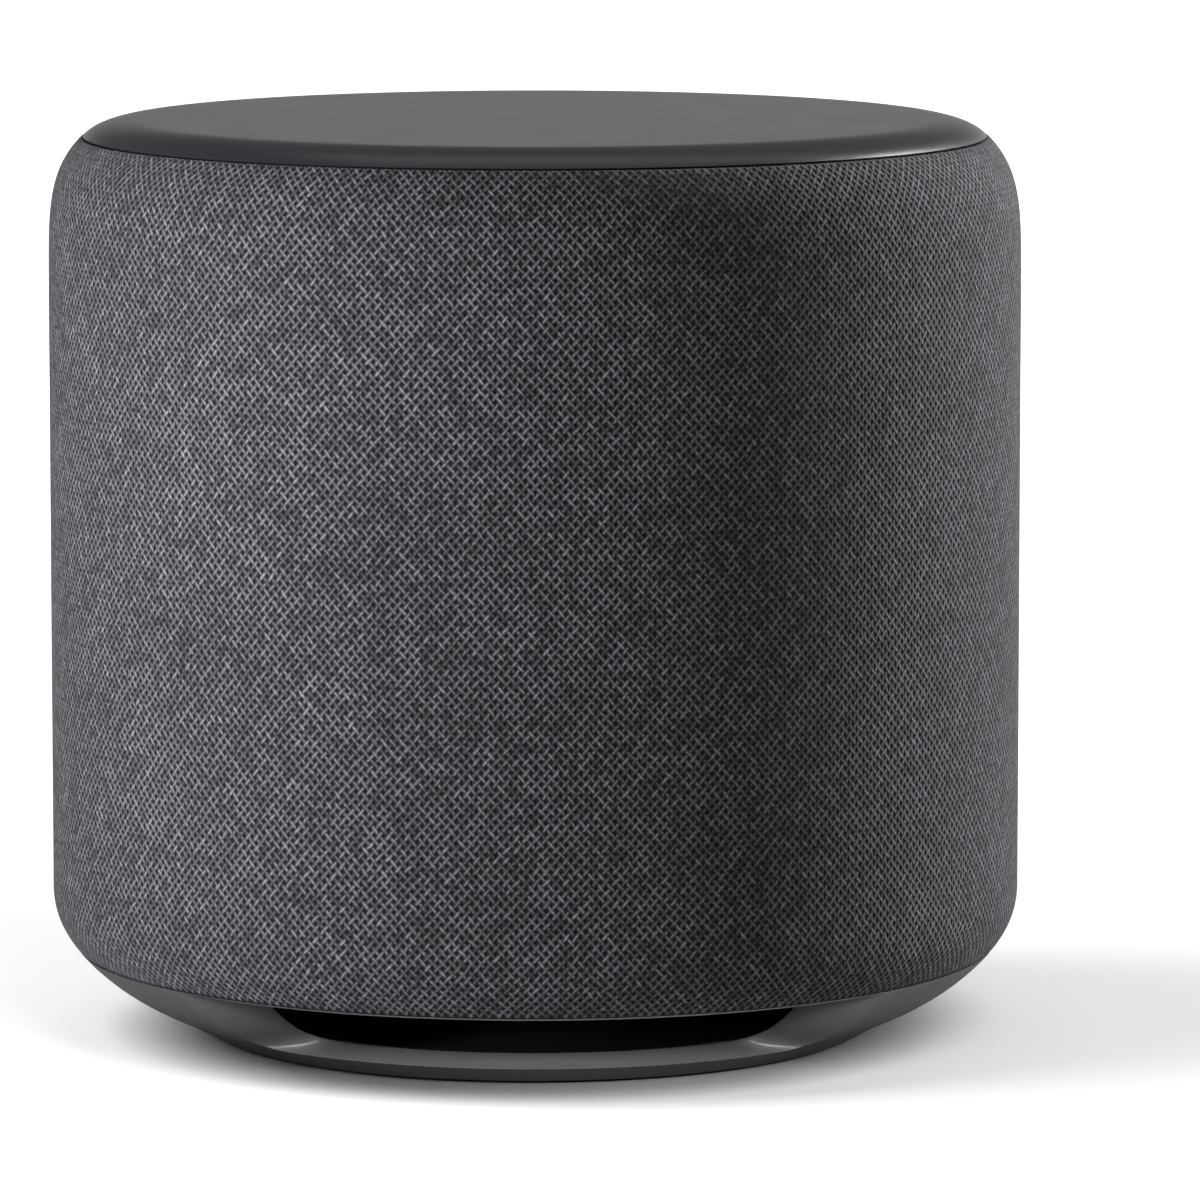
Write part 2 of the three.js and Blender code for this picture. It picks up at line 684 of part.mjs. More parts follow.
function antenna(name, side) {
  return at(piece(name, block(0.8, 40, 12, 0, 0, 0), FINISH.board), side * 88, 0, 5.3);
}

function electronics() {
  const group = new THREE.Group();
  group.position.z = BULKHEAD_Z + BULKHEAD_THICKNESS;
  group.add(powerSupply(), amplifier(), antenna("antenna_left", -1), antenna("antenna_right", 1));
  return group;
}

// ---- Wires and foam inside the drum ----
function internalWires() {
  const [mainsHole, controlHole, speakerHole] = WIRE_HOLES;
  const inletZ = PANEL.z + INLET_Z;
  const mains = wire(
    [[0, 78.8, inletZ], [3, 74, inletZ + 1], [10, 73, 62], [14, 74, 90], [14, 74, 120], [...mainsHole, 145],
      [22, 68.6, 156], [34, 68.6, 158]],
    2.1,
    18,
  );
  const control = wire(
    [[-10, 82.6, 72], [-13, 78, 74], [-24, 72, 90], [-34, 70, 112], [...controlHole, 145], [-41, 69.5, 155],
      [-56, 60, 158], [-61, 30, 158], [-60, -20, 158]],
    1.3,
    22,
  );
  const speaker = wire(
    [[46.3, 40.7, 44.4], [44.4, 44.1, 44.6], [46, 50, 52], [58, 44, 84], [65, 27, 112], [...speakerHole, 132],
      [...speakerHole, 145], [65, 14, 155], [62, 0, 157], [60, -20, 157]],
    1.6,
    22,
  );
  return [
    piece("mains_lead", mains, FINISH.cable),
    piece("control_lead", control, FINISH.cable),
    piece("speaker_lead", speaker, FINISH.cable),
  ];
}

// Open-cell foam against the drum wall, left open at the rear for the panel.
function dampingFoam() {
  const [inner, outer, low, high] = [88, 98.9, 84, 132];
  const opening = 0.72;
  const [start, end] = [Math.PI / 2 + opening, Math.PI / 2 - opening + 2 * Math.PI];
  const shape = new THREE.Shape();
  shape.absarc(0, 0, outer, start, end, false);
  shape.absarc(0, 0, inner, end, start, true);
  shape.closePath();
  const made = new THREE.ExtrudeGeometry(shape, {
    depth: high - low,
    bevelEnabled: false,
    curveSegments: 18,
  });
  return piece("damping_foam", made.translate(0, 0, low), FINISH.foam);
}

const subwoofer = new THREE.Group();
subwoofer.add(
  topCover(),
  fabricSleeve(),
  mainHousing(),
  baseCowl(),
  bottomPlate(),
  footRing(),
  ...baseScrews(),
  bafflePlate(),
  bulkhead(),
  woofer(),
  rearPanel(),
  rearConnections(),
  electronics(),
  ...internalWires(),
  dampingFoam(),
);

export default subwoofer;
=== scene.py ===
"""A cloth-covered drum subwoofer, dressed around its fixed frame.

Metres, +Z up, the front at -Y. Sizes in the classes are in millimetres, and MM turns them into metres.
"""

import json
import logging
import math
from dataclasses import dataclass
from enum import Enum
from typing import Callable, Protocol, Sequence

import bmesh
import bpy
import numpy as np
from mathutils import Matrix, Vector


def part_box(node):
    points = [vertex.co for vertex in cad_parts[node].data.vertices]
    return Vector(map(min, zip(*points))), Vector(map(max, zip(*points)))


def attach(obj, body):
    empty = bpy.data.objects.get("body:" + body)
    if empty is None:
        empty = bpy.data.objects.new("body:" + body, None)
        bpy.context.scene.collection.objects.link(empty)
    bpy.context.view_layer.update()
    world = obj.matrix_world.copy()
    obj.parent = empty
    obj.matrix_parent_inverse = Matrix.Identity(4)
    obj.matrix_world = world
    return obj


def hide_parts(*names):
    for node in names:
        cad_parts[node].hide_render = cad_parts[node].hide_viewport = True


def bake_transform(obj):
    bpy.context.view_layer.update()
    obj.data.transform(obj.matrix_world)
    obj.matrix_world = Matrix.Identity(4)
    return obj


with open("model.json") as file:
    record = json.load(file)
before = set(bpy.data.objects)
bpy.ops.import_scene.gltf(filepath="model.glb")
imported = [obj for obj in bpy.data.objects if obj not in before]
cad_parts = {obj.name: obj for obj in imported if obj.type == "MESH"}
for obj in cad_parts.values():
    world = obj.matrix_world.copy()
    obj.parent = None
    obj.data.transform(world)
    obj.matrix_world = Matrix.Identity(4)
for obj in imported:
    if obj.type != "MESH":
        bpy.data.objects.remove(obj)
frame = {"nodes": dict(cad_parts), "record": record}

MM = 0.001  # metres in a millimetre
FULL_TURN = 2 * math.pi
SHARP_ANGLE = 35.0  # degrees between two faces, above which their edge stays sharp
FLAT_MAP = "cloth"  # the name of the sleeve's flat coordinates
THREAD_POWER = 1.7  # how narrow a thread's section is
THREAD_LIFT = 0.16  # how far a thread rises or dips where it crosses another
CELL_SHARE = 0.14  # how much the tone of a single crossing counts
DRUM_LEVELS = (20, 100)  # the heights, in millimetres, between which the rear panel follows the drum
HOLE_ENDS = (80, 110)  # where the rear panel's holes start and end along Y, in millimetres

Color = tuple[float, float, float]
Socket = bpy.types.NodeSocket
Node = bpy.types.Node
Tree = bpy.types.NodeTree
Piece = bpy.types.Object
Profile = Sequence[tuple[float, float]]
Station = tuple[float, float, float]

log = logging.getLogger("subwoofer")


class Body(str, Enum):
    """The groups of the frame that move as one."""

    SHELL = "body"
    CONE = "cone_assembly"
    BUTTON = "button"


class Slot(str, Enum):
    """The record's material slots."""

    CLOTH = "cloth"
    LID = "lid_plastic"
    BASE = "base_plastic"
    INNER = "inner_plastic"
    RUBBER = "rubber"
    BOARD = "circuit_board"
    STEEL = "steel"
    DARK_STEEL = "dark_steel"
    ALUMINIUM = "aluminium"
    COPPER = "enamelled_copper"
    BRASS = "brass"
    FERRITE = "ferrite"
    CONE = "cone_paper"
    TREATED_CLOTH = "treated_cloth"
    FILM = "former_film"
    CLEAR = "clear_plastic"
    CERAMIC = "white_ceramic"
    SLEEVE = "capacitor_sleeve"
    FOAM = "foam"
    SHEATH = "cable_sheath"


# ---------------------------------------------------------------------------------------------------
# Shader trees
# ---------------------------------------------------------------------------------------------------


class Graph:
    """Short ways to make and join the nodes of one shader tree."""

    def __init__(self, tree: Tree) -> None:
        """Keeps the tree that the nodes go into."""
        self.tree = tree

    def feed(self, socket: Socket, value: object) -> None:
        """Links a socket to another, or sets its plain value.

        Args:
            socket: The input to feed.
            value: An output socket, a number, a vector or a color.
        """
        if isinstance(value, Socket):
            self.tree.links.new(value, socket)
        elif isinstance(value, tuple) and socket.type == "RGBA" and len(value) == 3:
            socket.default_value = (*value, 1.0)
        else:
            socket.default_value = value

    def node(self, kind: str, inputs: dict[str, object] | None = None, **settings: object) -> Node:
        """Makes a node.

        Args:
            kind: The node's type name.
            inputs: What each named input is fed with.
            settings: Properties of the node itself.

        Returns:
            The new node.
        """
        made = self.tree.nodes.new(kind)
        for name, value in settings.items():
            setattr(made, name, value)
        for name, value in (inputs or {}).items():
            self.feed(made.inputs[name], value)
        return made

    def math(self, operation: str, *operands: object) -> Socket:
        """Works one sum out.

        Args:
            operation: The name of the sum, such as MULTIPLY.
            operands: Its numbers or sockets.

        Returns:
            The socket that holds the result.
        """
        made = self.tree.nodes.new("ShaderNodeMath")
        made.operation = operation
        for socket, value in zip(made.inputs, operands):
            self.feed(socket, value)
        return made.outputs[0]

    def times(self, first: object, second: object) -> Socket:
        """The product of two numbers."""
        return self.math("MULTIPLY", first, second)

    def plus(self, first: object, second: object) -> Socket:
        """The sum of two numbers."""
        return self.math("ADD", first, second)

    def vector_math(self, operation: str, *operands: object) -> Socket:
        """Works one vector sum out.

        Args:
            operation: The name of the sum, such as ADD, or SCALE with a number as the second operand.
            operands: Its vectors or sockets.

        Returns:
            The socket that holds the result.
        """
        made = self.tree.nodes.new("ShaderNodeVectorMath")
        made.operation = operation
        sockets = [made.inputs[0], made.inputs["Scale"]] if operation == "SCALE" else made.inputs
        for socket, value in zip(sockets, operands):
            self.feed(socket, value)
        return made.outputs["Vector"]

    def spread(
        self, value: object, low: float, high: float, to_low: float = 0.0, to_high: float = 1.0
    ) -> Socket:
        """Maps a range of numbers smoothly onto another.

        Args:
            value: The number to map.
            low: Where the range starts.
            high: Where it ends.
            to_low: What low becomes.
            to_high: What high becomes.

        Returns:
            The socket that holds the result.
        """
        made = self.node("ShaderNodeMapRange", interpolation_type="SMOOTHSTEP")
        for socket, number in zip(made.inputs, (value, low, high, to_low, to_high)):
            self.feed(socket, number)
        return made.outputs[0]

    def mix(self, share: object, first: object, second: object, blend: str = "MIX") -> Socket:
        """Mixes two colors.

        Args:
            share: How much of the second color shows, from 0 to 1.
            first: The color at 0.
            second: The color at 1.
            blend: The way of mixing.

        Returns:
            The socket that holds the mixed color.
        """
        made = self.tree.nodes.new("ShaderNodeMix")
        made.data_type = "RGBA"
        made.blend_type = blend
        for index, value in ((0, share), (6, first), (7, second)):
            self.feed(made.inputs[index], value)
        return made.outputs[2]

    def noise(self, place: object, scale: object, detail: float = 2.0, roughness: float = 0.5) -> Node:
        """Makes a soft noise.

        Args:
            place: The coordinates it is read at.
            scale: How many of its features fit in one unit.
            detail: How many finer layers it has.
            roughness: How strong the finer layers are.

        Returns:
            The noise node.
        """
        inputs = {"Vector": place, "Scale": scale, "Detail": detail, "Roughness": roughness}
        return self.node("ShaderNodeTexNoise", inputs)

    def place(self) -> Socket:
        """The point on the piece, in metres."""
        return self.node("ShaderNodeTexCoord").outputs["Object"]


class SharedEffects:
    """The shader groups that more than one material uses, each built once."""

    def __init__(self) -> None:
        """Starts with no group made."""
        self.made: dict[str, Tree] = {}

    def group(
        self,
        name: str,
        inputs: Sequence[tuple[str, str, float]],
        outputs: Sequence[str],
        fill: Callable[[Graph, Node, Node], None],
    ) -> Tree:
        """Makes a group, or gives the one that is there.

        Args:
            name: The group's name.
            inputs: Name, kind and starting value of each input, its kind being Float or Vector.
            outputs: The names of its number outputs.
            fill: Makes the nodes between its input and output nodes.

        Returns:
            The group's tree.
        """
        if name in self.made:
            return self.made[name]
        tree = bpy.data.node_groups.new(name, "ShaderNodeTree")
        for label, kind, start in inputs:
            socket = tree.interface.new_socket(name=label, in_out="INPUT", socket_type="NodeSocket" + kind)
            if kind == "Float":
                socket.default_value = start
        for label in outputs:
            tree.interface.new_socket(name=label, in_out="OUTPUT", socket_type="NodeSocketFloat")
        entry = tree.nodes.new("NodeGroupInput")
        leave = tree.nodes.new("NodeGroupOutput")
        fill(Graph(tree), entry, leave)
        self.made[name] = tree
        return tree

    def placed(self, graph: Graph, tree: Tree, inputs: dict[str, object]) -> Node:
        """Puts a group into a material with its own values.

        Args:
            graph: The material's graph.
            tree: The group's tree.
            inputs: What each input is fed with.

        Returns:
            The group node.
        """
        made = graph.tree.nodes.new("ShaderNodeGroup")
        made.node_tree = tree
        for name, value in inputs.items():
            graph.feed(made.inputs[name], value)
        return made

    def grain(self, graph: Graph, place: object, size: float) -> Node:
        """The fine grain and the broad mottle of a moulded or painted surface.

        Args:
            graph: The material's graph.
            place: The point on the piece, in metres.
            size: The distance between grains, in metres.

        Returns:
            A node with the outputs Height and Mottle.
        """

        def fill(g: Graph, entry: Node, leave: Node) -> None:
            """Two noises, the second one forty times as broad."""
            scale = g.math("DIVIDE", 1.0, entry.outputs["Size"])
            fine = g.noise(entry.outputs["Place"], scale, 3.0, 0.6)
            broad = g.noise(entry.outputs["Place"], g.math("DIVIDE", scale, 40.0), 4.0, 0.55)
            g.feed(leave.inputs["Height"], g.spread(fine.outputs["Fac"], 0.3, 0.7))
            g.feed(leave.inputs["Mottle"], g.spread(broad.outputs["Fac"], 0.35, 0.65))

        inputs = (("Place", "Vector", 0), ("Size", "Float", 0.0005))
        tree = self.group("moulded_grain", inputs, ("Height", "Mottle"), fill)
        return self.placed(graph, tree, {"Place": place, "Size": size})

    def dust(self, graph: Graph, place: object, amount: float) -> Socket:
        """Where fine dust settles: on what faces up, in soft patches.

        Args:
            graph: The material's graph.
            place: The point on the piece, in metres.
            amount: The largest share of dust, from 0 to 1.

        Returns:
            The socket that holds the mask.
        """

        def fill(g: Graph, entry: Node, leave: Node) -> None:
            """The upward part of the normal times a patchy noise and fine specks."""
            normal = g.node("ShaderNodeSeparateXYZ", {"Vector": g.node("ShaderNodeNewGeometry").outputs["Normal"]})
            up = g.spread(normal.outputs["Z"], 0.2, 0.95, 0.15, 1.0)
            spot = entry.outputs["Place"]
            patches = g.spread(g.noise(spot, 38.0, 4.0, 0.6).outputs["Fac"], 0.35, 0.75, 0.1, 1.0)
            specks = g.spread(g.noise(spot, 2600.0, 1.0).outputs["Fac"], 0.68, 0.78)
            soft = g.plus(g.times(patches, 0.45), g.times(specks, 0.55))
            g.feed(leave.inputs["Mask"], g.times(g.times(up, soft), entry.outputs["Amount"]))

        tree = self.group("settled_dust", (("Place", "Vector", 0), ("Amount", "Float", 0.1)), ("Mask",), fill)
        return self.placed(graph, tree, {"Place": place, "Amount": amount}).outputs["Mask"]

    def edge(self, graph: Graph, strength: float) -> Socket:
        """Outward edges, which are made lighter.

        Args:
            graph: The material's graph.
            strength: The largest value of the mask.

        Returns:
            The socket that holds the mask.
        """

        def fill(g: Graph, entry: Node, leave: Node) -> None:
            """The surface's own pointiness, from just above level."""
            point = g.node("ShaderNodeNewGeometry").outputs["Pointiness"]
            g.feed(leave.inputs["Mask"], g.times(g.spread(point, 0.52, 0.6), entry.outputs["Strength"]))

        tree = self.group("handled_edge", (("Strength", "Float", 0.2),), ("Mask",), fill)
        return self.placed(graph, tree, {"Strength": strength}).outputs["Mask"]

    def weave(
        self, graph: Graph, place: object, around: object, up: object, repeats: float, slack: float
    ) -> Node:
        """A plain weave whose threads cross on the bias.

        Args:
            graph: The material's graph.
            place: The point on the piece, in metres, which the uneven yarn is read from.
            around: The way round the piece, in repeats of the weave.
            up: The way up the piece, in repeats of the weave.
            repeats: How many repeats close the round.
            slack: How far threads wander from their line, in repeats.

        Returns:
            A node with the outputs Height, Yarn and Fibre.
        """

        def fill(g: Graph, entry: Node, leave: Node) -> None:
            """Two families of threads; the higher one at each point shows."""
            spot = entry.outputs["Place"]
            wander = g.node("ShaderNodeSeparateColor", {"Color": g.noise(spot, 190.0, 2.0).outputs["Color"]})
            shifts = [
                g.times(g.math("SUBTRACT", wander.outputs[i], 0.5), entry.outputs["Slack"]) for i in (0, 1)
            ]
            across = g.plus(entry.outputs["Around"], shifts[0])
            along = g.plus(entry.outputs["Up"], shifts[1])
            lines = (g.plus(along, across), g.math("SUBTRACT", along, across))
            index = [g.math("FLOOR", line) for line in lines]
            share = [g.math("SUBTRACT", line, whole) for line, whole in zip(lines, index)]
            thread = [g.math("WRAP", whole, entry.outputs["Repeats"], 0.0) for whole in index]
            wave = [g.math("SINE", g.times(part, math.pi)) for part in share]
            parity = g.math("PINGPONG", g.plus(index[0], index[1]), 1.0)
            lift = g.math("SUBTRACT", 1.0, g.times(parity, 2.0))
            heights = []
            for own, other, sign in ((0, 1, THREAD_LIFT), (1, 0, -THREAD_LIFT)):
                round_section = g.math("POWER", wave[own], THREAD_POWER)
                rise = g.math("MULTIPLY_ADD", g.times(lift, wave[other]), sign, 1.0 - THREAD_LIFT)
                heights.append(g.times(round_section, rise))
            cell = g.node("ShaderNodeCombineXYZ", {"X": thread[0], "Y": thread[1]}).outputs[0]
            patch = g.node("ShaderNodeTexWhiteNoise", {"Vector": cell}, noise_dimensions="2D").outputs["Value"]
            yarns = []
            fibres = []
            for own, other in ((0, 1), (1, 0)):
                offset = g.node("ShaderNodeCombineXYZ", {"X": thread[own], "Z": g.times(thread[own], 0.37)})
                apart = g.vector_math("SCALE", offset.outputs[0], 0.731)
                yarns.append(g.noise(g.vector_math("ADD", spot, apart), 230.0, 3.0, 0.7).outputs["Fac"])
                strand = g.node(
                    "ShaderNodeCombineXYZ",
                    {"X": g.times(lines[own], 4.5), "Y": g.times(lines[other], 1.3)},
                )
                fibres.append(g.noise(strand.outputs[0], 1.0, 1.0).outputs["Fac"])
            first = g.math("GREATER_THAN", heights[0], heights[1])
            own_tone = g.times(self.chosen(g, first, yarns), 1.0 - CELL_SHARE)
            yarn = g.plus(own_tone, g.times(patch, CELL_SHARE))
            g.feed(leave.inputs["Height"], g.math("MAXIMUM", heights[0], heights[1]))
            g.feed(leave.inputs["Yarn"], yarn)
            g.feed(leave.inputs["Fibre"], self.chosen(g, first, fibres))

        inputs = (
            ("Place", "Vector", 0),
            ("Around", "Float", 0),
            ("Up", "Float", 0),
            ("Repeats", "Float", 100),
            ("Slack", "Float", 0.2),
        )
        tree = self.group("bias_weave", inputs, ("Height", "Yarn", "Fibre"), fill)
        values = {"Place": place, "Around": around, "Up": up, "Repeats": repeats, "Slack": slack}
        return self.placed(graph, tree, values)

    @staticmethod
    def chosen(g: Graph, first: object, pair: Sequence[object]) -> Socket:
        """The first of a pair where first is 1, and the second elsewhere."""
        return g.math("MULTIPLY_ADD", g.math("SUBTRACT", pair[0], pair[1]), first, pair[1])

    def streaks(self, graph: Graph, place: object, stretch: tuple[float, float, float]) -> Socket:
        """Fine lines drawn by a brush, a die or a lathe.

        Args:
            graph: The material's graph.
            place: The point on the piece, in metres.
            stretch: Features per metre along X, Y and Z.

        Returns:
            The socket that holds the streaks' value.
        """

        def fill(g: Graph, entry: Node, leave: Node) -> None:
            """A noise read at stretched coordinates."""
            stretched = g.vector_math("MULTIPLY", entry.outputs["Place"], entry.outputs["Stretch"])
            g.feed(leave.inputs["Value"], g.noise(stretched, 1.0, 3.0, 0.7).outputs["Fac"])

        inputs = (("Place", "Vector", 0), ("Stretch", "Vector", 0))
        tree = self.group("drawn_streaks", inputs, ("Value",), fill)
        return self.placed(graph, tree, {"Place": place, "Stretch": stretch}).outputs["Value"]


class Finish(Protocol):
    """What a finish has."""

    slot: Slot

    def dress(self, graph: Graph, shader: Node, shared: SharedEffects) -> None:
        """Feeds the shader."""


def tint(color: Color, by: float) -> Color:
    """A color made darker or lighter."""
    return tuple(min(part * by, 1.0) for part in color)


def add_relief(graph: Graph, shader: Node, height: object, depth: float, strength: float = 1.0) -> None:
    """Feeds a height to the shader's normal.

    Args:
        graph: The material's graph.
        shader: The Principled node.
        height: The height, from 0 to 1.
        depth: How deep 1 is, in metres.
        strength: How much of it counts.
    """
    bump = graph.node("ShaderNodeBump", {"Height": height, "Distance": depth, "Strength": strength})
    graph.feed(shader.inputs["Normal"], bump.outputs["Normal"])


@dataclass(frozen=True)
class HeatheredCloth:
    """Charcoal cloth of two-tone yarn, stretched round the drum on the bias, with painted shade in the pits
    between its threads and painted highlights on their crowns.
    """

    slot: Slot
    dark: Color
    light: Color
    # painted shade: the near-black colour of the pits between threads
    pit_shade: Color
    repeats: int
    rise: float
    slack: float = 0.34
    relief: float = 0.00042

    def dress(self, graph: Graph, shader: Node, shared: SharedEffects) -> None:
        """Feeds the shader with the weave, its painted shade in the pits and its painted highlights on the thread
        crowns.
        """
        laid_out = graph.node("ShaderNodeUVMap", uv_map=FLAT_MAP).outputs["UV"]
        flat = graph.node("ShaderNodeSeparateXYZ", {"Vector": laid_out})
        around = graph.times(flat.outputs["X"], float(self.repeats))
        up = graph.math("DIVIDE", flat.outputs["Y"], self.rise)
        place = graph.place()
        weave = shared.weave(graph, place, around, up, float(self.repeats), self.slack)
        heather = graph.spread(weave.outputs["Yarn"], 0.3, 0.75)
        yarn = graph.mix(heather, self.dark, self.light)
        fibres = graph.spread(weave.outputs["Fibre"], 0.3, 0.7, 0.6, 1.3)
        patches = graph.spread(graph.noise(place, 26.0, 3.0, 0.6).outputs["Fac"], 0.3, 0.7, 0.9, 1.1)
        # painted highlight: the crowns of the threads are made up to 1.75 times lighter
        crown_highlight = graph.spread(weave.outputs["Height"], 0.6, 1.0, 0.8, 1.75)
        tone = graph.times(graph.times(fibres, patches), crown_highlight)
        highlighted_yarn = graph.mix(1.0, yarn, self.grey(graph, tone), "MULTIPLY")
        # painted shade: the yarn fades into the pit colour down the low flanks of the threads
        unshaded_share = graph.spread(weave.outputs["Height"], 0.24, 0.84)
        graph.feed(shader.inputs["Base Color"], graph.mix(unshaded_share, self.pit_shade, highlighted_yarn))
        graph.feed(shader.inputs["Roughness"], graph.spread(weave.outputs["Fibre"], 0.3, 0.7, 0.78, 0.95))
        shader.inputs["Specular IOR Level"].default_value = 0.25
        shader.inputs["Sheen Weight"].default_value = 0.06
        shader.inputs["Sheen Roughness"].default_value = 0.45
        shader.inputs["Sheen Tint"].default_value = (0.8, 0.82, 0.9, 1.0)
        fine = graph.times(weave.outputs["Fibre"], 0.16)
        add_relief(graph, shader, graph.plus(weave.outputs["Height"], fine), self.relief, 0.85)

    @staticmethod
    def grey(graph: Graph, value: object) -> Socket:
        """A number as a grey color."""
        channels = {"Red": value, "Green": value, "Blue": value}
        return graph.node("ShaderNodeCombineColor", channels).outputs["Color"]


@dataclass(frozen=True)
class MouldedPlastic:
    """Moulded plastic, from a satin lid to a matt inner part."""

    slot: Slot
    color: Color
    roughness: float
    grain: float = 0.0005
    relief: float = 0.00002
    mottle: float = 0.06
    dust: float = 0.04
    edge: float = 0.08
    specular: float = 0.5

    def dress(self, graph: Graph, shader: Node, shared: SharedEffects) -> None:
        """Feeds the shader with a grained, slightly mottled surface."""
        place = graph.place()
        grain = shared.grain(graph, place, self.grain)
        less, more = 1 - self.mottle, 1 + self.mottle
        body = graph.mix(grain.outputs["Mottle"], tint(self.color, less), tint(self.color, more))
        # lighter colour on outward edges, read from the surface's pointiness
        edge_lightened = graph.mix(shared.edge(graph, self.edge), body, tint(self.color, 2.2))
        dusty = graph.mix(shared.dust(graph, place, self.dust), edge_lightened, (0.42, 0.41, 0.4))
        graph.feed(shader.inputs["Base Color"], dusty)
        rough = graph.spread(grain.outputs["Mottle"], 0.0, 1.0, self.roughness * less, self.roughness * more)
        graph.feed(shader.inputs["Roughness"], rough)
        shader.inputs["Specular IOR Level"].default_value = self.specular
        add_relief(graph, shader, grain.outputs["Height"], self.relief, 0.6)


@dataclass(frozen=True)
class MouldedRubber:
    """Matt rubber with a bloom of lighter grey on it."""

    slot: Slot
    color: Color
    grain: float = 0.0004

    def dress(self, graph: Graph, shader: Node, shared: SharedEffects) -> None:
        """Feeds the shader with a soft, dull surface."""
        place = graph.place()
        grain = shared.grain(graph, place, self.grain)
        bloom = graph.mix(grain.outputs["Mottle"], self.color, tint(self.color, 1.8))
        dusty = graph.mix(shared.dust(graph, place, 0.1), bloom, (0.4, 0.39, 0.37))
        graph.feed(shader.inputs["Base Color"], dusty)
        graph.feed(shader.inputs["Roughness"], graph.spread(grain.outputs["Mottle"], 0.0, 1.0, 0.72, 0.9))
        shader.inputs["Specular IOR Level"].default_value = 0.3
        add_relief(graph, shader, grain.outputs["Height"], 0.00004, 0.7)


@dataclass(frozen=True)
class Metal:
    """Bare, plated or enamelled metal with the lines its making left."""

    slot: Slot
    color: Color
    roughness: float
    metallic: float = 1.0
    stretch: tuple[float, float, float] = (900.0, 60.0, 900.0)
    coat: float = 0.0

    def dress(self, graph: Graph, shader: Node, shared: SharedEffects) -> None:
        """Feeds the shader with a streaked metal."""
        place = graph.place()
        streaks = shared.streaks(graph, place, self.stretch)
        tarnish = shared.grain(graph, place, 0.0006).outputs["Mottle"]
        drawn = graph.mix(graph.spread(streaks, 0.3, 0.7), tint(self.color, 0.82), tint(self.color, 1.1))
        dulled = graph.mix(graph.times(tarnish, 0.25), drawn, tint(self.color, 0.55))
        # lighter colour on outward edges, read from the surface's pointiness
        edge_lightened_metal = graph.mix(shared.edge(graph, 0.3), dulled, tint(self.color, 1.6))
        graph.feed(shader.inputs["Base Color"], edge_lightened_metal)
        rough = graph.spread(streaks, 0.3, 0.7, self.roughness * 0.8, self.roughness * 1.25)
        graph.feed(shader.inputs["Roughness"], rough)
        shader.inputs["Metallic"].default_value = self.metallic
        shader.inputs["Coat Weight"].default_value = self.coat
        add_relief(graph, shader, streaks, 0.00002, 0.5)


@dataclass(frozen=True)
class SinteredBlock:
    """Ferrite or ceramic: dull, fine-grained, with a few pits that carry painted shade."""

    slot: Slot
    color: Color
    roughness: float

    def dress(self, graph: Graph, shader: Node, shared: SharedEffects) -> None:
        """Feeds the shader with a pitted, even surface."""
        place = graph.place()
        grain = shared.grain(graph, place, 0.0003)
        pits = graph.node("ShaderNodeTexVoronoi", {"Vector": place, "Scale": 700.0}).outputs["Distance"]
        pitted = graph.spread(pits, 0.05, 0.25)
        body = graph.mix(grain.outputs["Mottle"], tint(self.color, 0.85), tint(self.color, 1.15))
        # painted shade: the pits are darkened to 0.6 of the body colour
        graph.feed(shader.inputs["Base Color"], graph.mix(pitted, tint(self.color, 0.6), body))
        rough = graph.spread(grain.outputs["Height"], 0.0, 1.0, self.roughness, self.roughness + 0.15)
        graph.feed(shader.inputs["Roughness"], rough)
        add_relief(graph, shader, graph.plus(grain.outputs["Height"], pitted), 0.00003, 0.7)


@dataclass(frozen=True)
class CircuitBoard:
    """Green solder mask over etched tracks."""

    slot: Slot
    color: Color
    pitch: float = 0.0026

    def dress(self, graph: Graph, shader: Node, shared: SharedEffects) -> None:
        """Feeds the shader with tracks and pads under the mask."""
        place = graph.place()
        scale = 1.0 / self.pitch
        tracks = graph.node(
            "ShaderNodeTexVoronoi", {"Vector": place, "Scale": scale * 0.5}, distance="CHEBYCHEV", feature="F2"
        ).outputs["Distance"]
        lines = graph.spread(graph.math("PINGPONG", graph.times(tracks, 5.0), 1.0), 0.55, 0.7)
        pads = graph.spread(
            graph.node(
                "ShaderNodeTexVoronoi", {"Vector": place, "Scale": scale, "Randomness": 0.4}
            ).outputs["Distance"],
            0.16, 0.2, 1.0, 0.0,
        )
        grain = shared.grain(graph, place, 0.0005)
        mask = graph.mix(graph.times(lines, 0.5), self.color, tint(self.color, 1.9))
        board = graph.mix(pads, mask, (0.55, 0.54, 0.5))
        cloudy = graph.mix(grain.outputs["Mottle"], self.color, board)
        graph.feed(shader.inputs["Base Color"], graph.mix(0.3, board, cloudy))
        graph.feed(shader.inputs["Roughness"], graph.spread(pads, 0.0, 1.0, 0.38, 0.26))
        add_relief(graph, shader, graph.plus(lines, pads), 0.00004, 0.5)


@dataclass(frozen=True)
class PressedPaper:
    """Coated paper pulp, with its fibres just showing."""

    slot: Slot
    color: Color

    def dress(self, graph: Graph, shader: Node, shared: SharedEffects) -> None:
        """Feeds the shader with felted fibres."""
        place = graph.place()
        fibres = shared.streaks(graph, graph.noise(place, 300.0, 2.0).outputs["Color"], (30.0, 4.0, 12.0))
        grain = shared.grain(graph, place, 0.0008)
        body = graph.mix(graph.spread(fibres, 0.3, 0.7), tint(self.color, 0.75), tint(self.color, 1.5))
        dusty = graph.mix(shared.dust(graph, place, 0.05), body, (0.4, 0.39, 0.38))
        graph.feed(shader.inputs["Base Color"], dusty)
        graph.feed(shader.inputs["Roughness"], graph.spread(fibres, 0.3, 0.7, 0.55, 0.8))
        add_relief(graph, shader, graph.plus(fibres, grain.outputs["Height"]), 0.00006, 0.7)


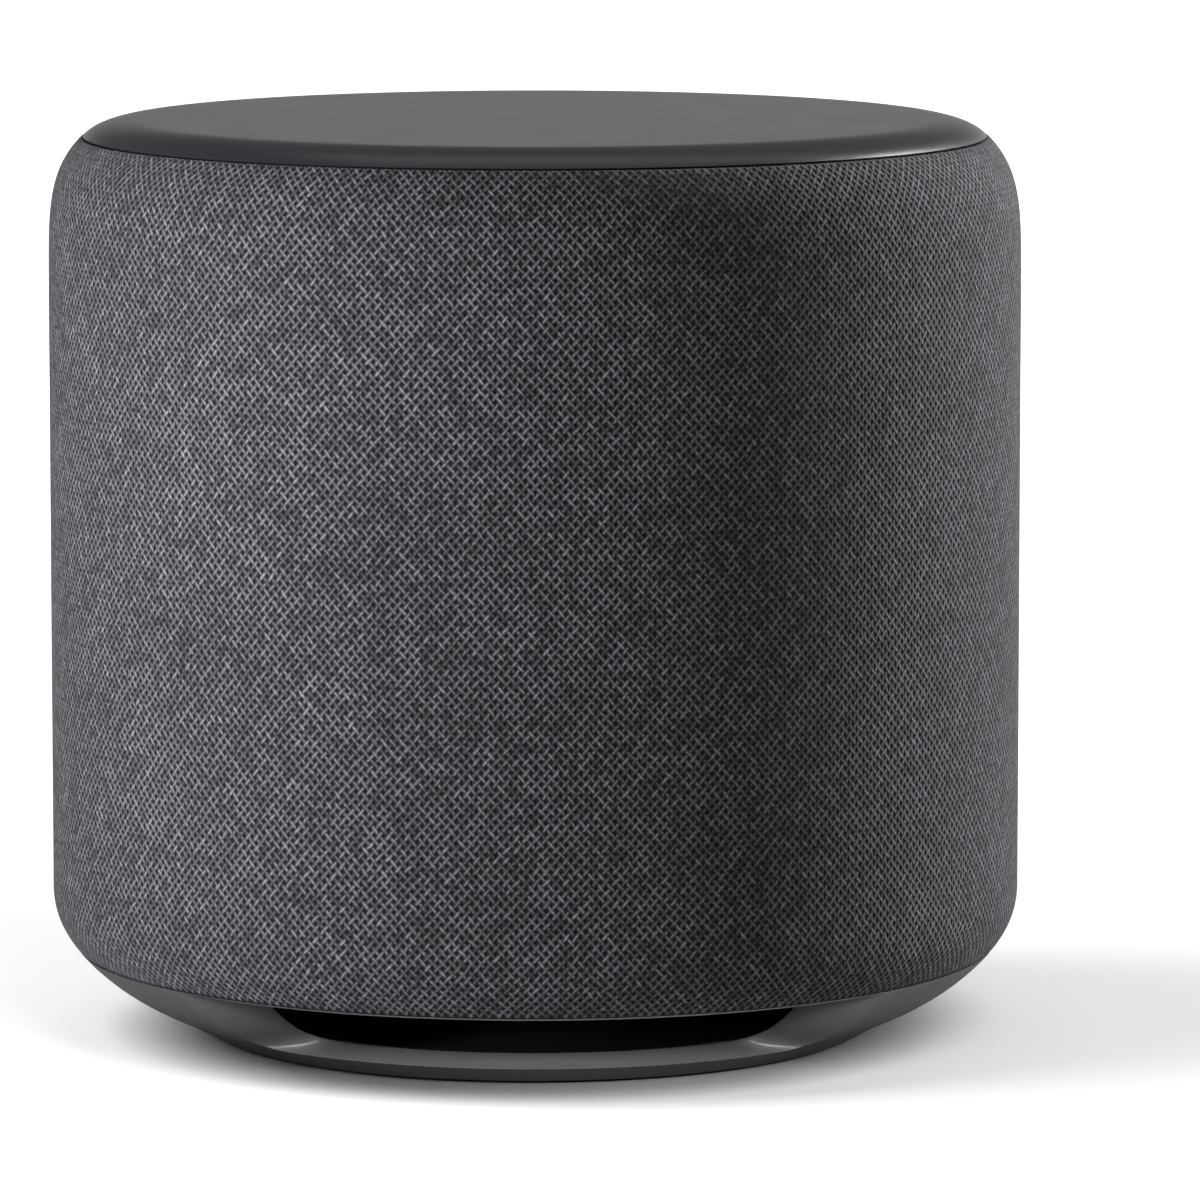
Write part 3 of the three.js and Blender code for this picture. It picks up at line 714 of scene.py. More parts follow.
@dataclass(frozen=True)
class TreatedCloth:
    """Resin-treated cotton, pressed into rings."""

    slot: Slot
    color: Color
    thread: float = 0.0007

    def dress(self, graph: Graph, shader: Node, shared: SharedEffects) -> None:
        """Feeds the shader with a small weave under a thin varnish, with painted shade between its threads."""
        place = graph.place()
        flat = graph.node("ShaderNodeSeparateXYZ", {"Vector": place})
        around = graph.math("DIVIDE", flat.outputs["X"], self.thread)
        along = graph.math("DIVIDE", flat.outputs["Y"], self.thread)
        weave = shared.weave(graph, place, around, along, 400.0, 0.15)
        yarn = graph.mix(weave.outputs["Yarn"], tint(self.color, 0.7), tint(self.color, 1.3))
        # painted shade: the low parts between threads are darkened to 0.3 of the colour
        unshaded_share = graph.spread(weave.outputs["Height"], 0.1, 0.5)
        graph.feed(shader.inputs["Base Color"], graph.mix(unshaded_share, tint(self.color, 0.3), yarn))
        graph.feed(shader.inputs["Roughness"], graph.spread(weave.outputs["Fibre"], 0.3, 0.7, 0.5, 0.7))
        add_relief(graph, shader, weave.outputs["Height"], 0.00015, 0.8)


@dataclass(frozen=True)
class OpenCellFoam:
    """Charcoal foam with open pores."""

    slot: Slot
    color: Color
    pore: float = 0.0016

    def dress(self, graph: Graph, shader: Node, shared: SharedEffects) -> None:
        """Feeds the shader with pores of two sizes."""
        place = graph.place()
        depth = None
        for share, fine in ((1.0, 1.0), (0.5, 2.3)):
            pores = graph.node("ShaderNodeTexVoronoi", {"Vector": place, "Scale": fine / self.pore})
            cells = pores.outputs["Distance"]
            layer = graph.times(graph.spread(cells, 0.1, 0.5), share)
            depth = layer if depth is None else graph.plus(depth, layer)
        mottle = shared.grain(graph, place, 0.0008).outputs["Mottle"]
        wall = graph.mix(mottle, self.color, tint(self.color, 1.5))
        shade = graph.mix(graph.spread(depth, 0.2, 1.2), tint(self.color, 0.2), wall)
        graph.feed(shader.inputs["Base Color"], shade)
        graph.feed(shader.inputs["Roughness"], graph.spread(mottle, 0.0, 1.0, 0.88, 0.98))
        add_relief(graph, shader, depth, 0.0006, 0.9)


FINISHES: tuple[Finish, ...] = (
    HeatheredCloth(
        Slot.CLOTH,
        dark=(0.03, 0.0295, 0.034),
        light=(0.125, 0.122, 0.139),
        # painted shade in the pits between threads
        pit_shade=(0.003, 0.003, 0.0035),
        repeats=321,
        rise=0.00228,
    ),
    MouldedPlastic(
        Slot.LID, (0.016, 0.018, 0.022), 0.33, grain=0.00035, relief=0.000006, mottle=0.02, dust=0.004, edge=0.0
    ),
    MouldedPlastic(Slot.BASE, (0.062, 0.062, 0.063), 0.4, grain=0.0004, relief=0.00001, mottle=0.03, dust=0.004),
    MouldedPlastic(Slot.INNER, (0.014, 0.014, 0.016), 0.5, grain=0.0007, relief=0.00004, mottle=0.1),
    MouldedRubber(Slot.RUBBER, (0.01, 0.01, 0.011)),
    CircuitBoard(Slot.BOARD, (0.02, 0.09, 0.045)),
    Metal(Slot.STEEL, (0.5, 0.5, 0.51), 0.32),
    Metal(Slot.DARK_STEEL, (0.03, 0.03, 0.032), 0.42, metallic=0.6),
    Metal(Slot.ALUMINIUM, (0.55, 0.56, 0.57), 0.36, stretch=(60.0, 900.0, 900.0)),
    Metal(Slot.COPPER, (0.5, 0.19, 0.08), 0.28, stretch=(120.0, 120.0, 2400.0), coat=0.5),
    Metal(Slot.BRASS, (0.6, 0.43, 0.17), 0.25, stretch=(900.0, 90.0, 900.0)),
    SinteredBlock(Slot.FERRITE, (0.03, 0.03, 0.032), 0.6),
    PressedPaper(Slot.CONE, (0.02, 0.02, 0.023)),
    TreatedCloth(Slot.TREATED_CLOTH, (0.4, 0.25, 0.09)),
    MouldedPlastic(Slot.FILM, (0.36, 0.15, 0.04), 0.22, grain=0.0015, mottle=0.12, edge=0.05),
    MouldedPlastic(Slot.CLEAR, (0.72, 0.75, 0.76), 0.3, grain=0.0004, mottle=0.03, edge=0.0),
    SinteredBlock(Slot.CERAMIC, (0.72, 0.7, 0.64), 0.4),
    MouldedPlastic(Slot.SLEEVE, (0.035, 0.05, 0.1), 0.24, grain=0.002, mottle=0.1),
    OpenCellFoam(Slot.FOAM, (0.05, 0.05, 0.053)),
    MouldedPlastic(Slot.SHEATH, (0.012, 0.012, 0.013), 0.4, grain=0.0009, mottle=0.12, dust=0.08),
)


class Wardrobe:
    """Holds one material for each slot and dresses pieces in them."""

    def __init__(self) -> None:
        """Makes every material."""
        shared = SharedEffects()
        self.materials = {finish.slot: self.material(finish, shared) for finish in FINISHES}

    @staticmethod
    def material(finish: Finish, shared: SharedEffects) -> bpy.types.Material:
        """Makes a finish's material.

        Args:
            finish: The finish.
            shared: The shared shader groups.

        Returns:
            The new material.
        """
        made = bpy.data.materials.new(finish.slot.value)
        made.use_nodes = True
        graph = Graph(made.node_tree)
        graph.tree.nodes.clear()
        shader = graph.node("ShaderNodeBsdfPrincipled")
        output = graph.node("ShaderNodeOutputMaterial")
        graph.feed(output.inputs["Surface"], shader.outputs["BSDF"])
        finish.dress(graph, shader, shared)
        return made

    def dress(self, piece: Piece, slot: Slot) -> None:
        """Dresses a new piece in one slot's material."""
        piece.data.materials.clear()
        piece.data.materials.append(self.materials[slot])

    def dress_frame(self) -> None:
        """Dresses every node of the frame in its slot's material."""
        for entry in frame["record"]["subparts"]:
            node = frame["nodes"][entry["node"]]
            for place in node.material_slots:
                place.material = self.materials[Slot(entry["material_slot"])]


# ---------------------------------------------------------------------------------------------------
# Meshes
# ---------------------------------------------------------------------------------------------------


class Shell:
    """Gathers patches of quads, in millimetres, into one closed mesh."""

    def __init__(self) -> None:
        """Starts empty."""
        self.vertices: list[np.ndarray] = []
        self.faces: list[tuple[int, ...]] = []
        self.count = 0

    def patch(self, grid: np.ndarray, closed: bool = False) -> "Shell":
        """Adds a grid of points as quads.

        Args:
            grid: Rows by columns by 3 coordinates.
            closed: Whether the last column meets the first.

        Returns:
            This shell.
        """
        rows, columns = grid.shape[:2]
        self.vertices.append(grid.reshape(-1, 3))
        for i in range(rows - 1):
            for j in range(columns if closed else columns - 1):
                k = (j + 1) % columns
                corners = (i * columns + j, i * columns + k, (i + 1) * columns + k, (i + 1) * columns + j)
                self.faces.append(tuple(self.count + corner for corner in corners))
        self.count += rows * columns
        return self

    def close_ends(self, rows: int, columns: int) -> "Shell":
        """Closes both ends of a single open patch whose last row repeats its first.

        Args:
            rows: The patch's rows.
            columns: The patch's columns.

        Returns:
            This shell.
        """
        self.faces.append(tuple(k * columns for k in range(rows - 1)))
        self.faces.append(tuple(k * columns + columns - 1 for k in reversed(range(rows - 1))))
        return self

    def object(self, name: str, sharp: float = SHARP_ANGLE) -> Piece:
        """Makes the mesh object.

        Args:
            name: The piece's name.
            sharp: The angle in degrees above which an edge stays sharp.

        Returns:
            The new object, with its faces pointing out.
        """
        mesh = bpy.data.meshes.new(name)
        points = np.concatenate(self.vertices) * MM
        mesh.from_pydata(points.tolist(), [], self.faces)
        shape = bmesh.new()
        shape.from_mesh(mesh)
        bmesh.ops.remove_doubles(shape, verts=shape.verts, dist=1e-6)
        bmesh.ops.dissolve_degenerate(shape, edges=shape.edges, dist=1e-7)
        bmesh.ops.recalc_face_normals(shape, faces=shape.faces)
        if shape.calc_volume(signed=True) < 0:
            bmesh.ops.reverse_faces(shape, faces=shape.faces)
        shape.to_mesh(mesh)
        shape.free()
        return placed(name, mesh, sharp)


def placed(name: str, mesh: bpy.types.Mesh, sharp: float) -> Piece:
    """Links a mesh into the scene, smooth apart from its sharp edges.

    Args:
        name: The piece's name.
        mesh: Its mesh.
        sharp: The angle in degrees above which an edge stays sharp.

    Returns:
        The new object.
    """
    mesh.shade_smooth()
    mesh.set_sharp_from_angle(angle=math.radians(sharp))
    made = bpy.data.objects.new(name, mesh)
    bpy.context.collection.objects.link(made)
    return made


def turned_grid(profile: Profile, angles: np.ndarray) -> np.ndarray:
    """The points of a profile turned about Z.

    Args:
        profile: Pairs of radius and height.
        angles: The angles of the columns, from the front.

    Returns:
        Rows by columns by 3 coordinates.
    """
    radius, height = np.array(profile, float).T
    return ring_points(radius[:, None], angles[None, :], height[:, None] + 0 * angles[None, :])


def ring_points(radius: np.ndarray, angle: np.ndarray, height: np.ndarray) -> np.ndarray:
    """Points from their radius, angle from the front and height."""
    return np.stack([radius * np.sin(angle), -radius * np.cos(angle), height + 0 * angle], axis=-1)


def turned(name: str, profile: Profile, sides: int, sharp: float = SHARP_ANGLE) -> Piece:
    """A solid of revolution about Z, closed on the axis or on itself.

    Args:
        name: The piece's name.
        profile: Pairs of radius and height.
        sides: The number of sides.
        sharp: The angle in degrees above which an edge stays sharp.

    Returns:
        The new object.
    """
    angles = np.arange(sides) * FULL_TURN / sides
    meets_axis = profile[0][0] == 0 and profile[-1][0] == 0
    outline = list(profile) if meets_axis else [*profile, profile[0]]
    return Shell().patch(turned_grid(outline, angles), closed=True).object(name, sharp)


def rounded(profile: Profile, radii: dict[int, float], steps: int = 4) -> list[tuple[float, float]]:
    """An outline with some of its corners made round.

    Args:
        profile: The outline's points.
        radii: The distance from a corner, by its number, over which it turns.
        steps: The number of pieces of each round corner.

    Returns:
        The outline with the round corners in it.
    """
    points = [np.array(point, float) for point in profile]
    result: list[tuple[float, float]] = []
    for i, point in enumerate(points):
        if i not in radii:
            result.append(tuple(point))
            continue
        before, after = points[i - 1], points[(i + 1) % len(points)]
        start = point + (before - point) / np.linalg.norm(before - point) * radii[i]
        end = point + (after - point) / np.linalg.norm(after - point) * radii[i]
        for t in np.linspace(0, 1, steps + 1):
            result.append(tuple((1 - t) ** 2 * start + 2 * t * (1 - t) * point + t**2 * end))
    return result


def catmull_rom(points: Profile, shares: np.ndarray) -> np.ndarray:
    """Points on a smooth curve through given points.

    Args:
        points: The points it passes through.
        shares: How far along, from 0 to 1.

    Returns:
        One point for each share.
    """
    knots = np.array(points, float)
    last = len(knots) - 1
    result = []
    for share in np.atleast_1d(shares):
        at = share * last
        i = min(int(at), last - 1)
        t = at - i
        p0, p1, p2, p3 = (knots[min(max(k, 0), last)] for k in (i - 1, i, i + 1, i + 2))
        v0, v1 = (p2 - p0) / 2, (p3 - p1) / 2
        result.append(
            (2 * p1 - 2 * p2 + v0 + v1) * t**3 + (-3 * p1 + 3 * p2 - 2 * v0 - v1) * t**2 + v0 * t + p1
        )
    return np.array(result)


def rounded_rectangle(width: float, height: float, corner: float, steps: int = 10) -> np.ndarray:
    """The outline of a rounded rectangle about the origin.

    Args:
        width: Its full width.
        height: Its full height.
        corner: Its corners' radius.
        steps: The number of pieces of each corner.

    Returns:
        The outline's points, counter-clockwise.
    """
    points = []
    for quarter, (sx, sy) in enumerate(((1, 1), (-1, 1), (-1, -1), (1, -1))):
        for angle in np.linspace(quarter * math.pi / 2, (quarter + 1) * math.pi / 2, steps + 1):
            x = sx * (width / 2 - corner) + corner * math.cos(angle)
            y = sy * (height / 2 - corner) + corner * math.sin(angle)
            points.append((x, y))
    return np.array(points)


def extruded(
    name: str, outline: np.ndarray, near: float, far: float, at: tuple[float, float], sharp: float = SHARP_ANGLE
) -> Piece:
    """An outline in X and Z, drawn out along Y.

    Args:
        name: The piece's name.
        outline: The outline's points.
        near: The Y it starts at.
        far: The Y it ends at.
        at: The X and Z of the outline's origin.
        sharp: The angle in degrees above which an edge stays sharp.

    Returns:
        The new object.
    """
    x, z = outline[:, 0] + at[0], outline[:, 1] + at[1]
    ends = [np.stack([x, np.full_like(x, y), z], axis=-1) for y in (near, far)]
    shell = Shell().patch(np.array(ends), closed=True)
    shell.faces.append(tuple(range(len(x))))
    shell.faces.append(tuple(range(2 * len(x) - 1, len(x) - 1, -1)))
    return shell.object(name, sharp)


def lathe_along_y(
    name: str, profile: Profile, sides: int, at: tuple[float, float], sharp: float = SHARP_ANGLE
) -> Piece:
    """A solid of revolution whose axis runs along Y.

    Args:
        name: The piece's name.
        profile: Pairs of radius and Y.
        sides: The number of sides.
        at: The X and Z of its axis.
        sharp: The angle in degrees above which an edge stays sharp.

    Returns:
        The new object.
    """
    made = turned(name, profile, sides, sharp)
    made.data.transform(Matrix.Rotation(-math.pi / 2, 4, "X"))
    made.data.transform(Matrix.Translation(Vector((at[0] * MM, 0, at[1] * MM))))
    return made


def settled(piece: Piece) -> Piece:
    """Makes a piece's modifiers part of its mesh.

    Args:
        piece: The piece.

    Returns:
        The same piece.
    """
    bpy.context.view_layer.update()
    evaluated = piece.evaluated_get(bpy.context.evaluated_depsgraph_get())
    mesh = bpy.data.meshes.new_from_object(evaluated)
    mesh.name = piece.name
    piece.modifiers.clear()
    piece.data = mesh
    return piece


def combined(piece: Piece, tools: Sequence[Piece], operation: str) -> Piece:
    """Cuts, joins or meets a piece with tool pieces, which are used up.

    Args:
        piece: The piece that stays.
        tools: The pieces that work on it.
        operation: DIFFERENCE, UNION or INTERSECT.

    Returns:
        The piece.
    """
    for tool in tools:
        work = piece.modifiers.new("work", "BOOLEAN")
        work.operation = operation
        work.solver = "EXACT"
        work.object = tool
    settled(piece)
    for tool in tools:
        bpy.data.objects.remove(tool)
    return piece


def softened(piece: Piece, width: float, segments: int = 2, sharp: float = 30.0) -> Piece:
    """Rounds a piece's sharp edges.

    Args:
        piece: The piece.
        width: The width of the rounding, in millimetres.
        segments: The number of faces across it.
        sharp: The angle in degrees above which an edge is rounded.

    Returns:
        The same piece.
    """
    bevel = piece.modifiers.new("soft edges", "BEVEL")
    bevel.width = width * MM
    bevel.segments = segments
    bevel.limit_method = "ANGLE"
    bevel.angle_limit = math.radians(sharp)
    bevel.harden_normals = False
    settled(piece)
    piece.data.shade_smooth()
    piece.data.set_sharp_from_angle(angle=math.radians(60))
    weighted = piece.modifiers.new("even shading", "WEIGHTED_NORMAL")
    weighted.keep_sharp = True
    return piece


def top_of(node: str) -> float:
    """The height of a node's top, in millimetres."""
    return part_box(node)[1].z / MM


def foot_of(node: str) -> float:
    """The height of a node's underside, in millimetres."""
    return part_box(node)[0].z / MM


def radius_of(node: str) -> float:
    """A round node's largest radius about Z, in millimetres."""
    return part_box(node)[1].y / MM


def finished(
    piece: Piece, wardrobe: Wardrobe, slot: Slot, body: Body, nodes: Sequence[str] = ()
) -> Piece:
    """Dresses a piece, hides the nodes it stands for and puts it on its body.

    Args:
        piece: The piece.
        wardrobe: The materials.
        slot: The slot whose finish it wears.
        body: The body it rides on.
        nodes: The nodes it stands for.

    Returns:
        The same piece.
    """
    wardrobe.dress(piece, slot)
    if nodes:
        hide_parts(*nodes)
    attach(piece, body.value)
    log.info("%s: %d faces, %s", piece.name, len(piece.data.polygons), slot.value)
    return piece


# ---------------------------------------------------------------------------------------------------
# The object
# ---------------------------------------------------------------------------------------------------


@dataclass
class Lid:
    """The smooth cover, flat in the middle and rounded to its edge."""

    crown_radius: float = 85.6
    edge_radius: float = 97.4
    edge_height: float = 194.7
    sweep: float = math.radians(67.5)
    steps: int = 18
    sides: int = 256

    def profile(self) -> list[tuple[float, float]]:
        """The lid's outline, from the middle of its top to the middle of its underside."""
        top = top_of("top_cover")
        outline = [(0.0, top), (40.0, top), (self.crown_radius - 6, top)]
        for i in range(self.steps + 1):
            a = self.sweep * i / self.steps
            out = math.sin(a) / math.sin(self.sweep)
            down = (1 - math.cos(a)) / (1 - math.cos(self.sweep))
            radius = self.crown_radius + (self.edge_radius - self.crown_radius) * out
            outline.append((radius, top - (top - self.edge_height) * down))
        skirt = foot_of("top_cover")
        step = [(97.3, 194.5), (96.9, 194.25), (92.0, 193.6)]
        return [*outline, *step, (92.0, skirt), (89.6, skirt), (89.6, 195.6), (0.0, 195.6)]

    def build(self, wardrobe: Wardrobe) -> Piece:
        """Makes and dresses the lid."""
        piece = turned("lid", self.profile(), self.sides, sharp=40.0)
        return finished(piece, wardrobe, Slot.LID, Body.SHELL, ["top_cover"])


@dataclass
class Sleeve:
    """The woven sleeve stretched over the drum, turned under at its hem and tucked in beneath the lid."""

    hem_radius: float = 100.5
    hem_height: float = 18.9
    hem_rise: float = 13.6
    hem_power: float = 2.3
    seam_radius: float = 98.0
    seam_height: float = 194.3
    seam_drop: float = 41.9
    seam_power: float = 6.0
    thickness: float = 1.2
    turned_in: float = 10.0
    sides: int = 320
    rows: int = 26
    opening: tuple[float, float, float, float] = (60.8, 50.8, 11.4, 60.0)

    def outline(self) -> np.ndarray:
        """The outer outline from the hem to the seam."""
        radius = radius_of("fabric_sleeve")
        u = np.linspace(1, 0, self.rows)
        hem_r = radius - (radius - self.hem_radius) * u**self.hem_power
        hem_z = self.hem_height + 0.7 + (self.hem_rise - 0.7) * (1 - u)
        v = np.sqrt(np.linspace(0, 1, self.rows))
        seam_r = radius - (radius - self.seam_radius) * v**self.seam_power
        seam_z = self.seam_height - self.seam_drop * (1 - v)
        middle = np.linspace(hem_z[-1], seam_z[0], 12)[1:-1]
        points = [*zip(hem_r, hem_z), *((radius, z) for z in middle), *zip(seam_r, seam_z)]
        return np.array(points)

    def section(self) -> list[tuple[float, float]]:
        """The closed section of the cloth."""
        outer = self.outline()
        step = np.gradient(outer, axis=0)
        normal = np.stack([-step[:, 1], step[:, 0]], axis=-1) / np.linalg.norm(step, axis=1)[:, None]
        inner = (outer + normal * self.thickness)[2:-2][::-1]
        turn = [(99.9, self.hem_height + 0.15), (99.2, self.hem_height), (97.0, self.hem_height + 0.05)]
        hem = [(96.9, self.hem_height + 0.6), *reversed(turn)]
        tuck = [(97.2, 194.15), (96.3, 193.75), (94.4, 193.1), (94.2, 192.1), (96.2, 192.4)]
        lip = [(97.0, self.hem_height + self.thickness)]
        return [*hem, *map(tuple, outer), *tuck, *map(tuple, inner), *lip]

    def lay_out(self, piece: Piece) -> None:
        """Gives the cloth its flat coordinates: the share of the way round, and the metres up along it.

        Args:
            piece: The sleeve.
        """
        outer = self.outline()
        lengths = np.concatenate([[0], np.cumsum(np.linalg.norm(np.diff(outer, axis=0), axis=1))])
        mesh = piece.data
        points = np.array([vertex.co for vertex in mesh.vertices]) / MM
        turn = np.arctan2(points[:, 0], -points[:, 1]) / FULL_TURN
        rise = np.interp(points[:, 2], outer[:, 1], lengths) * MM
        flat = mesh.uv_layers.new(name=FLAT_MAP)
        corners = np.zeros((len(mesh.loops), 2))
        for face in mesh.polygons:
            shares = turn[list(face.vertices)]
            wrapped = np.where(shares < shares.max() - 0.5, shares + 1, shares)
            for loop, vertex, share in zip(face.loop_indices, face.vertices, wrapped):
                corners[loop] = share, rise[vertex]
        flat.data.foreach_set("uv", corners.astype(np.float32).ravel())

    def build(self, wardrobe: Wardrobe) -> Piece:
        """Makes the sleeve, opens it for the rear panel and lays out its cloth."""
        piece = turned("cloth_sleeve", self.section(), self.sides, sharp=75.0)
        width, height, corner, level = self.opening
        window = extruded("sleeve_opening", rounded_rectangle(width, height, corner), 80, 120, (0, level))
        combined(piece, [window], "DIFFERENCE")
        piece.data.shade_smooth()
        piece.data.set_sharp_from_angle(angle=math.radians(75))
        self.lay_out(piece)
        finished(piece, wardrobe, Slot.CLOTH, Body.SHELL, ["fabric_sleeve"])
        return piece


@dataclass
class Cowl:
    """The bowl-shaped base: a wide sound window at the front with scooped sides over a low sill."""

    shoulder: tuple[float, float] = (99.7, 18.5)
    belly: tuple[float, float] = (79.8, 5.1)
    bulge: float = 2.1
    foot: tuple[float, float] = (71.6, 0.6)
    sill_outer: float = 78.6
    inside: tuple[tuple[float, float], ...] = ((70.6, 6.4), (79.0, 10.2), (86.4, 15.6), (87.6, 18.6))
    thin: tuple[tuple[float, float], ...] = ((72.0, 4.6), (78.0, 7.2), (88.0, 12.0), (93.6, 18.0))
    outer_angle: float = math.radians(48)
    inner_angle: float = math.radians(39.5)
    flare: float = 1.6
    corner: float = 0.3
    pinch: float = 0.14
    front_columns: int = 110
    back_columns: int = 220
    depth_rows: int = 14
    wall_rows: int = 30

    def outer_wall(self, along: np.ndarray) -> np.ndarray:
        """The bowl's outside, from the sill's edge at 0 to the shoulder at 1."""
        foot, belly, shoulder = (np.array(p) for p in (self.foot, self.belly, self.shoulder))
        share = (self.sill_outer - foot[0]) / (belly[0] - foot[0])
        edge = foot + (belly - foot) * share
        low = 0.08
        result = []
        for a in along:
            if a < low:
                result.append(edge + (belly - edge) * a / low)
                continue
            u = 1 - (a - low) / (1 - low)
            swell = self.bulge * 2 * u * (1 - u)
            result.append(shoulder + (belly - shoulder) * u + np.array([swell, -swell]))
        return np.array(result)

    def inner_wall(self, along: np.ndarray, angle: np.ndarray) -> np.ndarray:
        """The bowl's inside, thick beside the window and thin elsewhere.

        Args:
            along: How far up the wall, from 0 to 1, one for each row.
            angle: The angle from the front, rows by columns.

        Returns:
            Rows by columns by radius and height.
        """
        thick = catmull_rom(self.inside, along)[:, None, :]
        thin = catmull_rom(self.thin, along)[:, None, :]
        away = np.abs((angle + math.pi) % FULL_TURN - math.pi)
        share = np.clip((away - math.radians(50)) / math.radians(9), 0, 1)[..., None]
        share = share * share * (3 - 2 * share)
        return thick + (thin - thick) * share

    def half_angle(self, depth: np.ndarray, along: np.ndarray) -> np.ndarray:
        """The window's half width as an angle, flaring outwards, with round lower corners."""
        below = np.maximum(1 - along / self.corner, 0)
        narrowing = 1 - self.pinch * (1 - np.sqrt(1 - below**2))
        return (self.inner_angle + (self.outer_angle - self.inner_angle) * depth**self.flare) * narrowing

    def ring_angles(self, edge: float) -> np.ndarray:
        """The columns of a whole ring whose front stretch is the window's width."""
        front = np.linspace(-edge, edge, self.front_columns + 1)
        back = np.linspace(edge, FULL_TURN - edge, self.back_columns + 1)
        return np.concatenate([front, back[1:-1]])

    def ring(self, stations: Sequence[Station], outer: np.ndarray, inner: np.ndarray) -> np.ndarray:
        """Rows of whole rings.

        Args:
            stations: Radius, height and the share of the inner columns for each row.
            outer: The columns' angles on the outside.
            inner: The columns' angles on the inside.

        Returns:
            Rows by columns by 3 coordinates.
        """
        rows = []
        for radius, height, share in stations:
            angle = outer + (inner - outer) * share
            rows.append(ring_points(np.full_like(angle, radius), angle, np.full_like(angle, height)))
        return np.array(rows)

    def join(self, shell: Shell, station: Station, along: float, outer: np.ndarray, inner: np.ndarray) -> None:
        """Joins a ring's last row to the edge of the inside wall.

        Args:
            shell: What the patch goes into.
            station: The last row's radius, height and share of the inner columns.
            along: How far up the wall its edge is: 0 or 1.
            outer: The columns' angles on the outside.
            inner: The columns' angles on the inside.
        """
        wall = self.inner_wall(np.array([along]), inner[None])[0]
        edge = ring_points(wall[:, 0], inner, wall[:, 1])[None]
        shell.patch(np.concatenate([self.ring([station], outer, inner), edge]), closed=True)

    def build(self, wardrobe: Wardrobe) -> Piece:
        """Makes the cowl from patches that share their edges."""
        shell = Shell()
        depth = np.linspace(0, 1, self.depth_rows + 1)
        along = np.linspace(0, 1, self.wall_rows + 1) ** 1.25
        outer = self.outer_wall(along)
        lip = catmull_rom(self.inside, along)
        for side in (-1, 1):
            blend = depth[:, None, None]
            wall = lip[None] + (outer - lip)[None] * blend
            angle = side * self.half_angle(depth[:, None], along[None, :])
            shell.patch(ring_points(wall[..., 0], angle, wall[..., 1]))
        for row in (0, -1):
            shares = np.linspace(-1, 1, self.front_columns + 1)
            edge = self.half_angle(depth, along[row])
            level = lip[row] + (outer[row] - lip[row]) * depth[:, None]
            shell.patch(ring_points(level[:, :1], edge[:, None] * shares, level[:, 1:]))
        go = np.linspace(0, 1, self.back_columns + 1)
        for at_depth in (0.0, 1.0):
            edge = self.half_angle(np.float64(at_depth), along)[:, None]
            angle = edge + (FULL_TURN - 2 * edge) * go
            wall = self.inner_wall(along, angle) if at_depth == 0 else outer[:, None, :] + 0 * angle[..., None]
            shell.patch(ring_points(wall[..., 0], angle, wall[..., 1]))
        edges = {
            (level, at): self.ring_angles(float(self.half_angle(np.float64(at), np.float64(level))))
            for level in (0, 1)
            for at in (1, 0)
        }
        low_out, low_in, high_out, high_in = edges.values()
        foot_rows = [(*outer[0], 0.0), (75.2, 2.58, 0.0), (*self.foot, 0.0), (70.9, 0.6, 0.0)]
        foot_rows += [(70.9, 2.1, 0.1), (64.3, 2.1, 0.3), (64.3, 3.3, 0.4)]
        floor_rows = [(60.0, 3.3, 0.6), (60.0, 4.4, 0.8), (64.0, 4.4, 1.0)]
        shell.patch(self.ring([*foot_rows, *floor_rows], low_out, low_in), closed=True)
        self.join(shell, floor_rows[-1], 0.0, low_out, low_in)
        spigot = [(*self.shoulder, 0.0), (98.9, 18.75, 0.0), (96.4, 18.8, 0.1), (96.4, 26.2, 0.3)]
        spigot += [(96.0, 26.6, 0.4), (94.0, 26.6, 0.6), (93.6, 26.2, 0.7), (93.6, 19.2, 1.0)]
        shell.patch(self.ring(spigot, high_out, high_in), closed=True)
        self.join(shell, spigot[-1], 1.0, high_out, high_in)
        piece = shell.object("base_bowl", sharp=28.0)
        softened(piece, 0.28, segments=2, sharp=24.0)
        return finished(piece, wardrobe, Slot.BASE, Body.SHELL, ["base_cowl"])


@dataclass
class Underside:
    """The plate that closes the base and the rubber ring it stands on."""

    plate_radius: float = 56.4
    flange_radius: float = 63.9
    ring_inner: float = 56.9
    ring_outer: float = 70.5
    ring_height: float = 1.8
    sides: int = 192

    def plate_profile(self) -> list[tuple[float, float]]:
        """The plate's section: a shallow dished underside, and a low cone on top."""
        below = [(0, 1.4), (16, 1.4), (16.6, 1.1), (50.2, 1.1), (50.6, 1.5), (51.8, 1.5), (52.2, 1.0)]
        rim = [(self.plate_radius - 0.3, 1.0), (self.plate_radius, 1.3), (self.plate_radius, 2.3)]
        flange = [(self.flange_radius, 2.3), (self.flange_radius, 3.0), (44, 3.0)]
        cone = catmull_rom([(44, 3.0), (26, 5.4), (12, 9.4), (4, 10.8), (0, 11)], np.linspace(0, 1, 25))
        return [*below, *rim, *flange, *map(tuple, cone[1:])]

    def build(self, wardrobe: Wardrobe) -> list[Piece]:
        """Makes the plate and the ring."""
        plate = turned("underside_plate", self.plate_profile(), self.sides, sharp=25.0)
        finished(plate, wardrobe, Slot.BASE, Body.SHELL, ["bottom_plate"])
        inner, outer, high = self.ring_inner, self.ring_outer, self.ring_height
        tread = [(inner, 0.25), (inner + 0.4, 0.0), (outer - 0.4, 0.0), (outer, 0.3)]
        square = [*tread, (outer, high), (inner, high)]
        ring = turned("rubber_foot", square, self.sides, sharp=50.0)
        finished(ring, wardrobe, Slot.RUBBER, Body.SHELL, ["foot_ring"])
        return [plate, ring]


